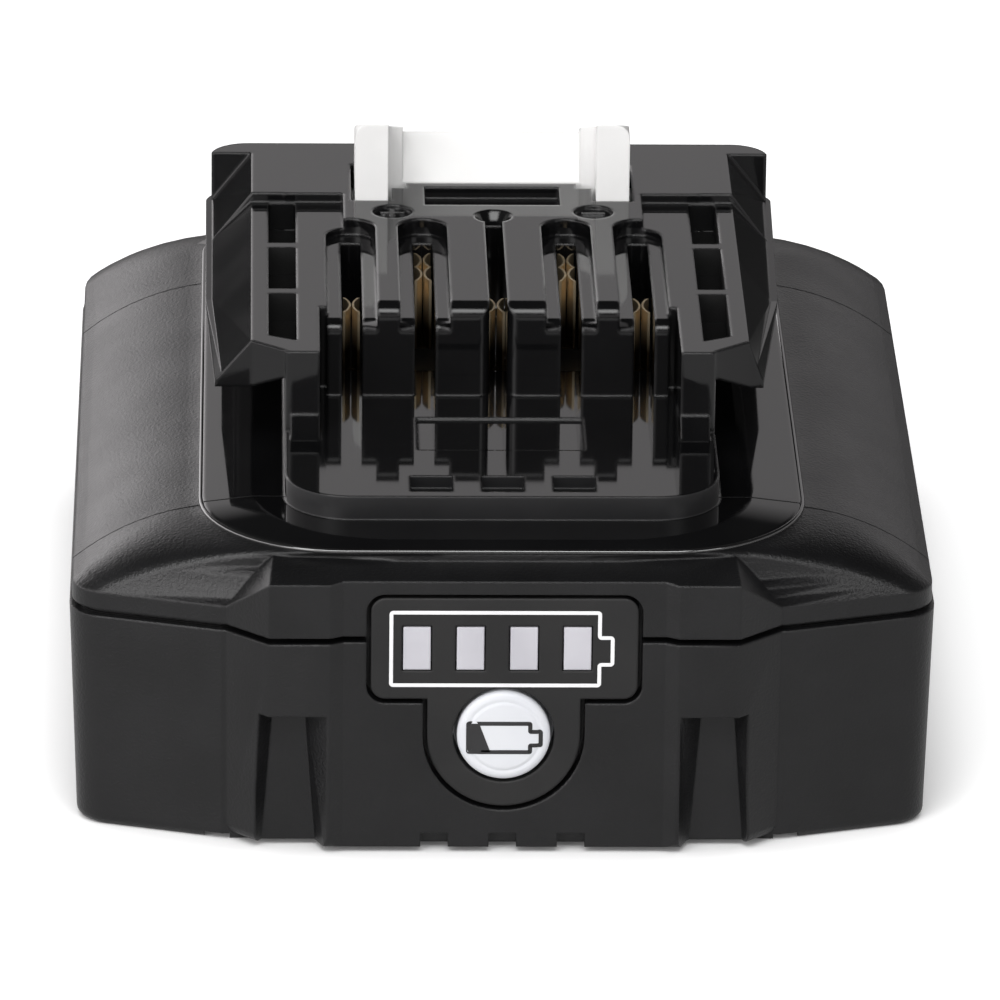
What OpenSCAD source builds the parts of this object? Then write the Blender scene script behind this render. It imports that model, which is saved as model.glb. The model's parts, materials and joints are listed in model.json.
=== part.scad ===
// Slide-on battery pack for a cordless power tool.
// Three cylindrical cells lie side by side in a case of two mouldings. The head on top carries the
// slide rails, five terminal slots and a sprung latch; the front carries a charge gauge.
// Frame: millimetres, Z up, base on Z = 0, gauge end towards -Y, X = 0 is the mid plane.

/* [Cells] */
// Diameter of one cell
cell_d = 18.4; // [16:0.1:21.5]
// Length of one cell
cell_l = 65; // [58:0.5:71]
// Gap between neighbouring cells
cell_gap = 0.5; // [0.3:0.1:1.5]
// Thickness of the welded connecting strips
strip_t = 0.3; // [0.2:0.05:0.5]
// Width of the risers to the main board
tab_w = 2.4; // [1.5:0.1:2.6]
// Width of the welded connecting strips
strip_w = 8; // [6:0.5:9]
// Thickness of the insulating end sheets
sheet_t = 0.4; // [0.2:0.05:0.6]
// Plastic left under the cells by the cell holders
holder_rim = 1.2; // [0.5:0.1:2]
// Length of each cell holder along the cells
holder_l = 23; // [20:0.5:26]
// Length of the holder posts that carry the main board
post_l = 12; // [11:0.5:16]
// Radial clearance of the cells in their holders
cell_fit = 0.15; // [0.1:0.05:0.3]
// Height of the cradles over the cell axes
holder_grip = 2; // [1:0.5:3]
// Clearance of the cell holders in the case
holder_play = 0.6; // [0.4:0.1:1]
// Width of the holder posts
post_w = 9.6; // [8:0.2:10]
// Diameter of the temperature sensor
bead_d = 3; // [2.4:0.1:3.4]
// Length of the temperature sensor
bead_l = 5; // [4:0.5:8]
// Diameter of the sensor leads
lead_d = 0.6; // [0.4:0.1:0.8]

/* [Case] */
// Thickness of the case walls
wall = 2; // [1.6:0.1:2.4]
// Room between the outer cells and the side walls
side_room = 2.9; // [2.6:0.1:6]
// Length from the front face to the cells
gauge_room = 8.8; // [8.6:0.1:14]
// Length from the cells to the back face
rear_room = 8.2; // [7.8:0.1:14]
// Gap between the cells and the ceiling of the case
top_gap = 0.6; // [0.4:0.1:1.5]
// Height of the lower moulding
parting_z = 17.2; // [15:0.2:18]
// Dark reveal between the two mouldings
seam_gap = 0.5; // [0.2:0.1:0.8]
// Height of the upright band above the reveal
band_h = 1.4; // [0.8:0.1:2]
// Height of the tongue that centres the mouldings
tongue_h = 1.3; // [0.8:0.1:2]
// Thickness of the lower rim outside the tongue
rim_t = 0.9; // [0.6:0.1:1.2]
// Corner radius at the back of the case in plan
corner_r = 8; // [5:0.5:10]
// Corner radius at the front of the case in plan
front_r = 3.2; // [2.6:0.1:4]
// Angle by which the ends of the front wall fall back
front_slant = 17; // [8:1:20]
// Length of those slanted ends along the front
slant_run = 8.4; // [6:0.2:9]
// Height of the rounding round the base
base_round = 0.8; // [0.4:0.1:2]
// Inset of the side walls at the base
draft = 0.5; // [0.2:0.05:1]
// Clearance between pieces that fit into each other
fit = 0.1; // [0.05:0.05:0.2]
// Width of the grooves in the base
foot_w = 1.9; // [1:0.1:2.5]
// Depth of the grooves in the base
foot_d = 0.5; // [0.3:0.1:0.8]
// Distances of those grooves from the mid plane
foot_lines = [6.1, 21.7]; // [0:0.1:26]
// Inset of the upper moulding at the sides
upper_in = 0.2; // [0:0.05:0.4]

/* [Shoulders] */
// Half width of the polished deck
deck_half = 23.2; // [22.5:0.1:26]
// Half width of the level part of the deck
flat_half = 19.2; // [18:0.1:21]
// Corner radius of the deck in plan
deck_r = 11.2; // [8:0.2:14]
// Fall from the level deck to the top of the shoulders
deck_drop = 0.75; // [0.4:0.05:1.2]
// Height of the small step round the deck
lip_h = 0.3; // [0.1:0.05:0.35]
// Width of the small step round the deck
lip_w = 0.35; // [0.1:0.05:0.5]
// Slope of the shoulders where they leave the deck
shoulder_slope = 8; // [2:1:14]
// Length of the shoulder behind the deck
rear_shoulder = 7; // [5:0.5:8]
// Corner radius at the back of the deck
deck_rear_r = 5; // [4:0.5:8]

/* [Front block] */
// Distance the front block stands out
chin_d = 3; // [2.4:0.1:4]
// Half width of the front block at its root
chin_half = 21.1; // [19.6:0.1:23]
// Half width of the front block at its face
pillar_half = 17.8; // [16.8:0.1:19]
// Height of the front block at its face
brow_z = 22; // [21.4:0.1:22.6]
// Half width of the brow where it meets the deck
brow_half = 17.5; // [16:0.1:17.7]
// Depth of the recess round the gauge
face_recess = 0.5; // [0.3:0.1:1]
// Half width of the recess round the gauge
recess_half = 12.2; // [11.4:0.1:12.8]
// Width of the slanted sides of that recess
recess_slant = 1; // [0.6:0.1:1.4]
// Half width of the two upright grooves at the face
groove_half = 2.95; // [2:0.05:3.2]
// Half width of their flat bottoms at the upper end
groove_neck = 1.2; // [0.6:0.1:1.4]
// Half width of their flat bottoms at the base
groove_foot = 2.1; // [1.5:0.1:2.6]
// Depth of the two upright grooves
groove_d = 2; // [1:0.1:2.2]
// Distance of the groove centres from the mid plane
groove_x = 16.3; // [15.6:0.05:17]
// Height where the grooves end
groove_top = 11.3; // [6:0.1:12.6]
// Height of the rounding round the base of the front block
chin_round = 1.2; // [0.4:0.1:1.6]
// Inset of that rounding at its lower edge
chin_in = 0.5; // [0.2:0.1:1]
// Height of the front block over the base plane
chin_lift = 0.5; // [0.2:0.1:0.8]
// Width of the three notches under the gauge
notch_w = 2.1; // [1.5:0.1:3]
// Height of those notches
notch_h = 1.1; // [0.6:0.1:1.4]
// Depth of those notches
notch_in = 1.5; // [0.8:0.1:2]
// Spacing of those notches
notch_pitch = 5.2; // [4:0.1:5.6]
// Fall from the deck edge to the back of the brow
brow_drop = 0.25; // [0.1:0.05:0.5]
// Distance of the brow top behind the shoulder front
brow_run = 1.4; // [0.8:0.1:1.8]

/* [Gauge] */
// Half width of the upper bar of the gauge panel
panel_half = 10.1; // [9.4:0.1:10.4]
// Lower edge of the upper bar
bar_z = 12.6; // [11.6:0.1:13.2]
// Upper edge of the gauge panel
panel_top = 20.75; // [19.6:0.05:20.8]
// Corner radius of the upper bar
panel_r = 1.1; // [0.5:0.1:2]
// Half width of the tongue round the button
tongue_half = 5.8; // [5.3:0.1:6.4]
// Gap between the panel and the case
panel_gap = 0.35; // [0.2:0.05:0.5]
// Thickness of the front wall behind the gauge recess
gauge_wall = 1.5; // [1.2:0.1:1.8]
// Thickness of the rim that holds the panel from inside
flange_t = 0.6; // [0.4:0.1:0.8]
// Width of the rim that holds the panel from inside
flange_w = 0.6; // [0.5:0.1:0.9]
// Distance the panel lies behind the recess face
panel_in = 0.1; // [0:0.05:0.3]
// Width of one charge window
window_w = 2.27; // [1.6:0.01:3]
// Height of one charge window
window_h = 3.65; // [2.5:0.05:4]
// Spacing of the charge windows
window_pitch = 4.05; // [3.6:0.05:4.2]
// Sideways position of the window row
window_x = -0.55; // [-0.8:0.05:0]
// Height of the window centres
window_z = 16.7; // [16.2:0.05:17]
// Thickness of the light guide behind the panel
guide_t = 0.6; // [0.4:0.1:0.8]
// Rim of the light guide round the windows
guide_rim = 0.45; // [0.3:0.05:0.6]
// Height of the button centre
button_z = 9.65; // [9.2:0.05:9.8]
// Diameter of the check button
button_d = 7.1; // [6:0.1:7.6]
// Distance the button stands in front of the panel
button_out = 0.4; // [0.2:0.05:0.8]
// Gap round the button
button_gap = 0.3; // [0.3:0.05:0.5]
// Width of the rim that holds the button from inside
button_rim = 0.75; // [0.6:0.05:0.8]
// Travel of the check button
button_travel = 0.4; // [0.2:0.05:0.5]
// Thickness of the gauge board
gauge_board_t = 1; // [0.6:0.1:1.2]
// Half width of the gauge board
gauge_board_half = 11.8; // [11.6:0.1:12]
// Thickness of the rim of the button
button_rim_t = 0.5; // [0.4:0.05:0.6]
// Play of the button behind the panel
button_play = 0.2; // [0.1:0.05:0.3]
// Radius of the ring in the button face
button_ring_r = 2.8; // [2:0.1:2.9]
// Width of the ring in the button face
button_ring_w = 0.2; // [0.1:0.05:0.3]
// Thickness of the push switch
switch_t = 0.5; // [0.4:0.05:0.7]
// Width of the push switch
switch_w = 4.2; // [3.6:0.1:5]
// Height of the push switch
switch_h = 3.2; // [3:0.1:4]
// Diameter of the switch plunger
plunger_d = 2; // [1.4:0.1:2.2]
// Seat of the gauge board on each side
gauge_ledge = 0.8; // [0.6:0.1:0.9]
// Height of the gauge board over the floor
gauge_foot = 0.5; // [0.2:0.1:0.8]
// Width of one LED
led_w = 1.6; // [1:0.1:2]
// Height of one LED
led_h = 0.8; // [0.5:0.1:1.2]
// Thickness of one LED
led_t = 0.5; // [0.4:0.05:0.7]
// Width of the ribbon
ribbon_w = 5; // [4:0.5:5.5]
// Thickness of the ribbon
ribbon_t = 0.3; // [0.2:0.05:0.4]
// Drop of the ribbon below the main board
ribbon_drop = 0.9; // [0.6:0.1:1.2]
// Length of the soldered ribbon ends
ribbon_tail = 3; // [2:0.5:4]

/* [Head] */
// Height of the head plate over the deck
plate_h = 1.9; // [1.5:0.1:2.5]
// Half width of the head plate and its side walls
head_half = 16.6; // [16:0.1:17.4]
// Corner radius at the front of the plate
plate_r = 5; // [3:0.5:7]
// Distance of the plate behind the shoulder front
plate_margin = 5.1; // [4:0.1:7]
// Distance of the head in front of the back face
rear_ledge = 13.6; // [12:0.1:16]
// Corner radius at the back of the head
head_r = 3; // [1:0.5:4]
// Height of the rail tops over the plate
rail_rise = 6.7; // [6:0.1:8]
// Step from the rail tops up to the crown
crown_step = 0.8; // [0.5:0.1:1.2]
// Half width of the crown between the rails
crown_half = 11.9; // [11.4:0.1:12.6]
// Length of the raised block at the back
back_block_l = 12.2; // [11.5:0.1:12.4]
// Half width of the rails
rail_half = 22.9; // [21:0.1:24]
// Half width of the level part of the rails
rail_flat_half = 19.2; // [18.6:0.1:20]
// Thickness of the rails
rail_t = 3.8; // [3:0.1:4.2]
// Thickness of the outer edge of the rails
rail_edge = 0.6; // [0.3:0.1:1.2]
// Length of the narrowing lead-in of the rails
rail_taper_l = 18; // [10:0.5:22]
// Narrowing of the left lead-in
lead_left = 0.8; // [0.2:0.1:1.5]
// Narrowing of the right lead-in
lead_right = 1.9; // [0.4:0.1:2.2]
// Narrowing of the left rail up to its lead-in
draw_left = 0.1; // [0:0.05:0.6]
// Narrowing of the right rail up to its lead-in
draw_right = 0.6; // [0:0.05:0.8]
// Width of the flat lip along the rail edges
rail_lip = 0.5; // [0.3:0.05:0.6]
// Rise of the rail undersides towards the head
rail_undercut = 1.5; // [0.5:0.1:1.6]
// Distance the rail edge ends behind the side walls
rail_setback = 2.5; // [1.5:0.1:4]
// Width of the rail pockets
pocket_w = 2.15; // [1.5:0.05:2.6]
// Distance of the rail pockets from the mid plane
pocket_x = 16.78; // [16.4:0.01:17.2]
// Depth of the rail pockets
pocket_d = 2.4; // [1:0.1:2.8]
// Width of the ribs between the rail pockets
pocket_rib = 1.2; // [0.8:0.1:2]
// Width of the three pockets in the plate
key_w = 3.2; // [2.4:0.1:4]
// Length of the three pockets in the plate
key_l = 3.2; // [2.4:0.1:4]
// Depth of the three pockets in the plate
key_d = 1; // [0.5:0.1:1.2]
// Spacing of the three pockets in the plate
key_pitch = 5.45; // [5:0.05:6]
// Distance of those pockets from the plate front
key_margin = 1.2; // [0.8:0.1:1.6]
// Half width of the sunk field on the plate
field_half = 6.4; // [5:0.1:8]
// Length of the sunk field on the plate
field_l = 7; // [5:0.1:9]
// Depth of the sunk field on the plate
field_d = 0.25; // [0.1:0.05:0.4]
// Distance of the polarity marks from the mid plane
mark_x = 8; // [7.4:0.1:8.6]
// Radius of the polarity marks
mark_r = 1.6; // [1.2:0.1:1.8]
// Depth of the polarity marks
mark_d = 0.4; // [0.2:0.05:0.6]
// Half length of the bars in the marks
mark_bar = 0.95; // [0.6:0.05:1.1]
// Width of the bars in the marks
mark_line = 0.5; // [0.3:0.05:0.7]
// Half width of the stop at the back of the rails
stop_half = 22.5; // [21.5:0.1:24]
// Length of the stop at the back of the rails
stop_l = 2.4; // [1.5:0.1:3.5]
// Size of the sloping foot in front of each arm
gusset = 1.6; // [1:0.1:2.4]
// Slant of the front pocket in each rail
pocket_slant = 1.1; // [0.4:0.1:1.6]

/* [Terminal slots] */
// Spacing of the terminal slots
slot_pitch = 5.68; // [5.5:0.01:5.8]
// Width of the slots above the ledges
slot_w = 3.9; // [3.4:0.05:4]
// Depth of the ledges below the crown
ledge_d = 1.4; // [1:0.1:2]
// Width of the slits between the ledges
slit_w = 1.6; // [1.5:0.05:1.9]
// Distance from the slots to the back of the head
slot_setback = 18.2; // [17.6:0.1:19]
// Length of the slots
slot_l = 20.2; // [19.6:0.1:22]
// Length of the open bay in front of the slots
bay_l = 8.3; // [7:0.1:10]
// Width of the channel between the terminal block and each side wall
channel_w = 0.6; // [0.4:0.05:0.8]
// Length of those channels beside the terminal block
channel_l = 1.9; // [1:0.1:2.4]
// Rounding of the front corners of the side walls
arm_round = 0.45; // [0.3:0.05:0.6]
// Thickness of the terminal leaves
leaf_t = 0.16; // [0.12:0.02:0.2]
// Length of the terminal leaves
leaf_l = 3.2; // [2.4:0.1:3.6]
// Bow of the terminal leaves
leaf_bow = 0.44; // [0.3:0.02:0.48]
// Height of the long terminals over the plate
leaf_rise = 4.6; // [3.5:0.1:5]
// Step back and up of the two inner terminals
inner_back = 5; // [3:0.2:5.4]
// Thickness of the main board
board_t = 1.2; // [0.8:0.1:1.4]
// Half width of the main board
board_half = 14; // [13.8:0.1:14.4]
// Distance of the terminals behind the slot fronts
terminal_in = 6.5; // [5.8:0.1:6.8]
// Room behind the inner terminals
slit_play = 0.4; // [0.3:0.05:0.6]
// Radius of the dimple at the end of the centre slit
dimple_r = 1.5; // [1:0.1:1.8]
// Depth of that dimple
dimple_d = 0.8; // [0.4:0.1:1.2]
// Rim of the terminal carrier round the terminals
carrier_margin = 0.8; // [0.6:0.1:1]
// Depth of the carrier top below the plate
carrier_roof = 0.4; // [0.3:0.05:0.6]
// Distance of the terminal feet from the leaf ends
foot_in = 0.4; // [0.2:0.1:0.8]
// Distance of the main board behind the plate front
board_margin = 5.4; // [5:0.1:7]
// Length of the main board behind the carrier
board_lap = 0.9; // [0.6:0.1:1]
// Width of the control chip
chip_w = 6; // [4:0.5:6.5]
// Thickness of the chips
chip_t = 0.5; // [0.3:0.05:0.5]
// Rounding of the ridge fronts
ridge_round = 1.2; // [0.6:0.1:1.3]
// Rounding of the ledge fronts
ledge_round = 1; // [0.4:0.1:1.2]
// Rounding at the mouth of the centre slit
mouth_r = 0.85; // [0.4:0.05:1]

/* [Latch] */
// Travel of the latch
latch_travel = 3.4; // [2:0.1:3.5]
// Half width over the latch prongs
prong_half = 10.95; // [10.6:0.05:11.2]
// Width of one latch prong
prong_w = 2.65; // [2.2:0.05:3.2]
// Height of the latch prongs over the crown
prong_rise = 6.3; // [5:0.1:7]
// Height of the latch bar over the crown
bar_rise = 3.6; // [2.5:0.1:4]
// Distance of the prong fronts from the back of the head
prong_setback = 13.6; // [13.2:0.1:13.8]
// Distance of the bar front from the back of the head
bar_setback = 9.4; // [8.8:0.1:10]
// Depth of the latch bar
bar_l = 4; // [3.4:0.1:4.2]
// Concave rounding between bar and prongs
latch_fillet = 1.2; // [0.6:0.1:1.5]
// Gap round the latch
latch_gap = 0.3; // [0.3:0.05:0.5]
// Thickness of the latch carriage
carriage_t = 2.8; // [2:0.1:3]
// Half width of the thumb pad
thumb_half = 8.5; // [6:0.1:9]
// Height of the thumb pad
thumb_h = 4.4; // [3.5:0.1:4.5]
// Distance the thumb pad stands behind the head
thumb_out = 1.4; // [0.8:0.1:2]
// Mean diameter of the latch springs
spring_d = 4.2; // [3.5:0.1:4.4]
// Wire diameter of the latch springs
spring_wire = 0.5; // [0.4:0.05:0.5]
// Turns of each latch spring
spring_turns = 5; // [4:0.5:5]
// Shoulder that stops the latch under the crown
stop_w = 1.3; // [1:0.1:1.4]
// Half width of the recess in front of the bar
catch_half = 5.4; // [4:0.1:6.4]
// Depth of the recess in front of the bar
catch_d = 1; // [0.5:0.1:1.2]
// Distance that recess starts in front of the prongs
catch_lead = 1.3; // [1:0.1:1.6]
// Rib between that recess and the bar
catch_rib = 1.2; // [0.8:0.1:1.6]
// Slope of the hook tops towards the back
hook_slope = 21; // [10:1:24]
// Length of the ramp in front of the bar
ramp_l = 2; // [1:0.1:3]
// Rounding at the outer tops of the prongs
prong_round = 1.2; // [0.6:0.1:1.4]

/* [Screws] */
// Diameter of the screw shanks
screw_d = 2.6; // [2:0.1:2.8]
// Length of the screw shanks
screw_l = 8; // [6:0.5:8.5]
// Diameter of the screw heads
screw_head_d = 3.8; // [3.4:0.1:4]
// Height of the screw heads
screw_head_h = 1.8; // [1.2:0.1:2.2]
// Height where the screw heads seat
screw_seat_z = 11; // [9:0.1:11.2]
// Radius of the screw bosses
boss_r = 2.7; // [2.6:0.05:2.8]
// Distance of the front screws from the front face
front_screw_in = 5; // [4.9:0.05:5.2]
// Distance of the rear screws from the back face
rear_screw_in = 3.8; // [3.6:0.1:3.9]
// Distance of the rear screws from the mid plane
rear_screw_x = 24; // [20:0.5:25]
// Thickness of plastic under the screw heads
boss_floor = 2; // [1.5:0.1:2.4]
// Plastic over the screw tips
column_cap = 0.8; // [0.6:0.1:1]

/* [Hidden] */
$fn = 48;

// Cells and overall size
cell_r = cell_d / 2;
cell_pitch = cell_d + cell_gap;
body_w = 3 * cell_d + 2 * cell_gap + 2 * (wall + side_room);
body_l = gauge_room + cell_l + rear_room;
half_w = body_w / 2;
front_y = -body_l / 2;
back_y = body_l / 2;
wall_front_y = front_y + chin_d;
cell_front_y = front_y + gauge_room;
cell_back_y = back_y - rear_room;
cell_z = wall + holder_rim + cell_r;
ceiling_z = wall + holder_rim + cell_d + top_gap;
inner_half = half_w - draft - wall;

// Heights of the case and the head
deck_z = ceiling_z + wall;
seam_top = parting_z + seam_gap;
shoulder_z = seam_top + band_h;
deck_edge_z = deck_z - deck_drop;
deck_back_y = back_y - rear_shoulder;
plate_z = deck_z + plate_h;
rail_z = plate_z + rail_rise;
crown_z = rail_z + crown_step;
rail_base_z = rail_z - rail_t;
ledge_z = crown_z - ledge_d;

// Stations along the head
head_back_y = back_y - rear_ledge;
step_y = head_back_y - back_block_l;
slot_back_y = head_back_y - slot_setback;
ridge_front_y = slot_back_y - slot_l;
arm_front_y = ridge_front_y - bay_l;
plate_front_y = wall_front_y + plate_margin;
block_half = 2 * slot_pitch + slot_w / 2;
bay_half = block_half + channel_w;

// Stack of the gauge from the front face inwards
face_y = front_y + face_recess;
panel_y = face_y + panel_in;
gauge_in_y = face_y + gauge_wall;
flange_y = gauge_in_y + flange_t;
guide_y = flange_y + guide_t;
button_back_y = flange_y + button_play + button_rim_t;
switch_y = button_back_y + button_travel + fit;
gauge_board_y = switch_y + switch_t;
gauge_board_back_y = gauge_board_y + gauge_board_t;
gauge_bay_half = gauge_board_half - gauge_ledge;
gauge_top_z = panel_top + flange_w + fit;
gauge_floor_z = wall + gauge_foot;

// Main board and terminals
board_z = ceiling_z;
board_top_z = board_z + board_t;
board_front_y = plate_front_y + board_margin;
board_back_y = slot_back_y + carrier_margin + board_lap;
hollow_z = plate_z - wall - fit;
terminal_y = ridge_front_y + terminal_in;
carrier_front_y = terminal_y - carrier_margin;
carrier_back_y = slot_back_y + carrier_margin;
carrier_half = 2 * slot_pitch + slot_w / 2;
carrier_z = plate_z - carrier_roof;
slit_back_y = terminal_y + inner_back + 2 * leaf_l + slit_play;
dimple_y = slot_back_y + dimple_r / 2 - fit;
leaf_r = (leaf_l * leaf_l / 4 + leaf_bow * leaf_bow) / (2 * leaf_bow);

// Latch
prong_y = head_back_y - prong_setback;
bar_y = head_back_y - bar_setback;
bar_back_y = bar_y + bar_l;
carriage_half = prong_half + stop_w;
carriage_y = prong_y - stop_w;
carriage_back_y = head_back_y - wall - latch_gap;
carriage_top_z = crown_z - wall - latch_gap;
carriage_z = carriage_top_z - carriage_t;
thumb_z = deck_z + latch_travel + latch_gap;
spring_x = cell_pitch / 2;
spring_y = (carriage_y + carriage_back_y) / 2;
spring_h = carriage_z - ceiling_z - fit;

// Screws
boss_top_z = screw_seat_z + boss_floor;
column_top_z = screw_seat_z + screw_l + column_cap;
screw_spots = [for (s = [-1, 1]) each [[s * groove_x, front_y + front_screw_in],
    [s * rear_screw_x, back_y - rear_screw_in]]];

// Shoulder arc: it leaves the deck edge at shoulder_slope and ends on the outer edge at shoulder_z
upper_half = half_w - upper_in;
shoulder_run = upper_half - deck_half;
shoulder_fall = deck_edge_z - shoulder_z;
shoulder_sweep = 2 * (atan2(shoulder_fall, shoulder_run) - shoulder_slope);
shoulder_r = norm([shoulder_run, shoulder_fall]) / (2 * sin(shoulder_sweep / 2));
shell_steps = 9;
cavity_steps = 4;
base_steps = 4;
shell_arc = 9;
cavity_arc = 5;
ceiling_fall = 2;
eps = 0.01;
over = 1;

shell_black = [0.13, 0.13, 0.14];
panel_grey = [0.25, 0.25, 0.26];
white_plastic = [0.93, 0.93, 0.94];
clear_plastic = [0.82, 0.83, 0.85];
board_green = [0.1, 0.32, 0.2];
part_black = [0.08, 0.08, 0.09];
brass_gold = [0.82, 0.66, 0.32];
nickel_grey = [0.75, 0.75, 0.73];
cell_sleeve = [0.2, 0.42, 0.6];
foam_grey = [0.4, 0.4, 0.42];
sheet_tan = [0.75, 0.68, 0.5];

function mix(a, b, s) = a + (b - a) * s;

// Right front corner in plan: a straight run that falls back by an angle, then an arc into the side
function front_corner(half, y0, r, fall, run, n) =
    let (mid_y = y0 + (r + run * sin(fall)) / cos(fall))
        concat([[half - r - run, y0]], [for (k = [1:n])
            let (a = (90 - fall) * ((k - 1) / (n - 1) - 1)) [half - r + r * cos(a), mid_y + r * sin(a)]]);

function rear_corner(half, y1, r, n) = [
    for (k = [0:n]) let (a = 90 * k / n) [half - r + r * cos(a), y1 - r + r * sin(a)]];

// Points of the case's plan at height z, anticlockwise seen from above
function ring(half, y0, y1, r0, r1, z, n, fall = front_slant) =
    let (side = concat(front_corner(half, y0, r0, fall, slant_run, n), rear_corner(half, y1, r1, n)))
        concat([for (p = side) [p.x, p.y, z]],
            [for (k = [len(side) - 1:-1:0]) [-side[k].x, side[k].y, z]]);

function shoulder_a(u) = shoulder_slope + shoulder_sweep * u;
function shoulder_x(u) = deck_half + shoulder_r * (sin(shoulder_a(u)) - sin(shoulder_slope));
function shoulder_h(u) = deck_edge_z - shoulder_r * (cos(shoulder_slope) - cos(shoulder_a(u)));

// One level of the shoulders, u = 0 at the deck and 1 at the outer edge, moved in by inset
function shoulder_ring(u, inset, n) =
    let (a = shoulder_a(u), s = (shoulder_x(u) - deck_half) / shoulder_run)
        ring(shoulder_x(u) - inset * sin(a), wall_front_y + inset,
            mix(deck_back_y, back_y, s) - inset * sin(a),
            mix(deck_r, front_r, s) - inset, mix(deck_rear_r, corner_r, s) - inset,
            shoulder_h(u) - inset * cos(a), n, front_slant * s);

// Solid through a stack of rings with equal point counts
module loft(rings) {
    n = len(rings);
    m = len(rings[0]);
    sides = [for (j = [0:n - 2]) for (k = [0:m - 1])
        let (a = j * m + k, b = j * m + (k + 1) % m)
            each [[a, a + m, b + m], [a, b + m, b]]];
    polyhedron(
        points = [for (r = rings) each r],
        faces = concat([[for (k = [0:m - 1]) k]], sides, [[for (k = [m - 1:-1:0]) (n - 1) * m + k]]));
}

module outline(half, y0, y1, r0, r1) {
    union() {
        translate([-half + r0, y0])
            square([2 * (half - r0), y1 - y0 - r1]);
        translate([-half + r1, y0 + r0])
            square([2 * (half - r1), y1 - y0 - r0]);
        translate([-half, y0 + r0])
            square([2 * half, y1 - y0 - r0 - r1]);
        for (s = [-1, 1]) {
            translate([s * (half - r0), y0 + r0])
                circle(r0);
            translate([s * (half - r1), y1 - r1])
                circle(r1);
        }
    }
}

// Box between two corners
module box(a, b) {
    translate(a)
        cube(b - a);
}

// Upright plate from y0 to y1 with an outline drawn in X and Z
module front_plate(y0, y1) {
    translate([0, y1, 0])
        rotate([90, 0, 0])
            linear_extrude(y1 - y0)
                children();
}

// Plate from x0 to x1 with an outline drawn in Y and Z
module side_plate(x0, x1) {
    translate([x0, 0, 0])
        rotate([90, 0, 90])
            linear_extrude(x1 - x0)
                children();
}

module both_sides() {
    children();
    mirror([1, 0, 0])
        children();
}

// Gauge shape shared by the panel and its opening
module panel_outline(grow) {
    r = panel_r + grow;
    outline(panel_half + grow, bar_z - grow, panel_top + grow, r, r);
    translate([-tongue_half - grow, button_z])
        square([2 * (tongue_half + grow), panel_top - button_z]);
    translate([0, button_z])
        circle(tongue_half + grow);
}

module gauge_openings() {
    front_plate(front_y - over, gauge_in_y + eps)
        panel_outline(panel_gap);
    translate([0, 0, -over])
        linear_extrude(crown_z)
            polygon([[-recess_half - 2 * recess_slant, face_y - 2 * face_recess],
                [recess_half + 2 * recess_slant, face_y - 2 * face_recess],
                [recess_half + recess_slant, front_y], [recess_half, face_y],
                [-recess_half, face_y], [-recess_half - recess_slant, front_y]]);
}

// Room for the gauge behind the front wall, stepped so the board has a face to seat on
module gauge_bay() {
    box([-gauge_bay_half, gauge_in_y, gauge_floor_z], [gauge_bay_half, gauge_board_y + eps, gauge_top_z]);
    box([-gauge_board_half - fit, gauge_board_y, gauge_floor_z],
        [gauge_board_half + fit, wall_front_y + wall + over, gauge_top_z]);
}

module chin_block() {
    in_y = wall_front_y + wall;
    loft([for (k = [0:base_steps])
        let (a = 90 * k / base_steps, t = k == base_steps ? 0 : chin_in * (1 - sin(a)),
            z = k == base_steps ? parting_z : chin_lift + chin_round * (1 - cos(a)))
            [[pillar_half - t, front_y + t, z], [chin_half - t, wall_front_y + t, z],
                [chin_half - t, in_y, z], [t - chin_half, in_y, z],
                [t - chin_half, wall_front_y + t, z], [t - pillar_half, front_y + t, z]]]);
}

module lower_shell() {
    loft(concat(
        [for (k = [0:base_steps])
            let (a = 90 * k / base_steps, t = draft + base_round * (1 - sin(a)))
                ring(half_w - t, wall_front_y + (t - draft) / 2, back_y - t,
                    front_r - draft, corner_r - draft, base_round * (1 - cos(a)), shell_arc)],
        [ring(half_w, wall_front_y, back_y, front_r, corner_r, parting_z, shell_arc)]));
}

// Plan of the case, moved in by inset at the front and by more at the sides and back
module case_plan(inset, more) {
    polygon([for (p = ring(half_w - more, wall_front_y + inset, back_y - more,
        front_r - inset, corner_r - inset, 0, shell_arc)) [p.x, p.y]]);
}

module lower_cavity() {
    translate([0, 0, wall])
        linear_extrude(parting_z)
            case_plan(wall, wall + draft);
    translate([0, 0, parting_z - tongue_h])
        linear_extrude(parting_z)
            case_plan(rim_t, rim_t);
}

// Upright groove whose flat bottom widens downwards
module groove() {
    loft([for (p = [[-over, groove_foot], [groove_top, groove_neck]])
        [[-groove_half, front_y - over, p.x], [groove_half, front_y - over, p.x],
            [groove_half, front_y, p.x], [p.y, front_y + groove_d, p.x],
            [-p.y, front_y + groove_d, p.x], [-groove_half, front_y, p.x]]]);
}

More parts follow.
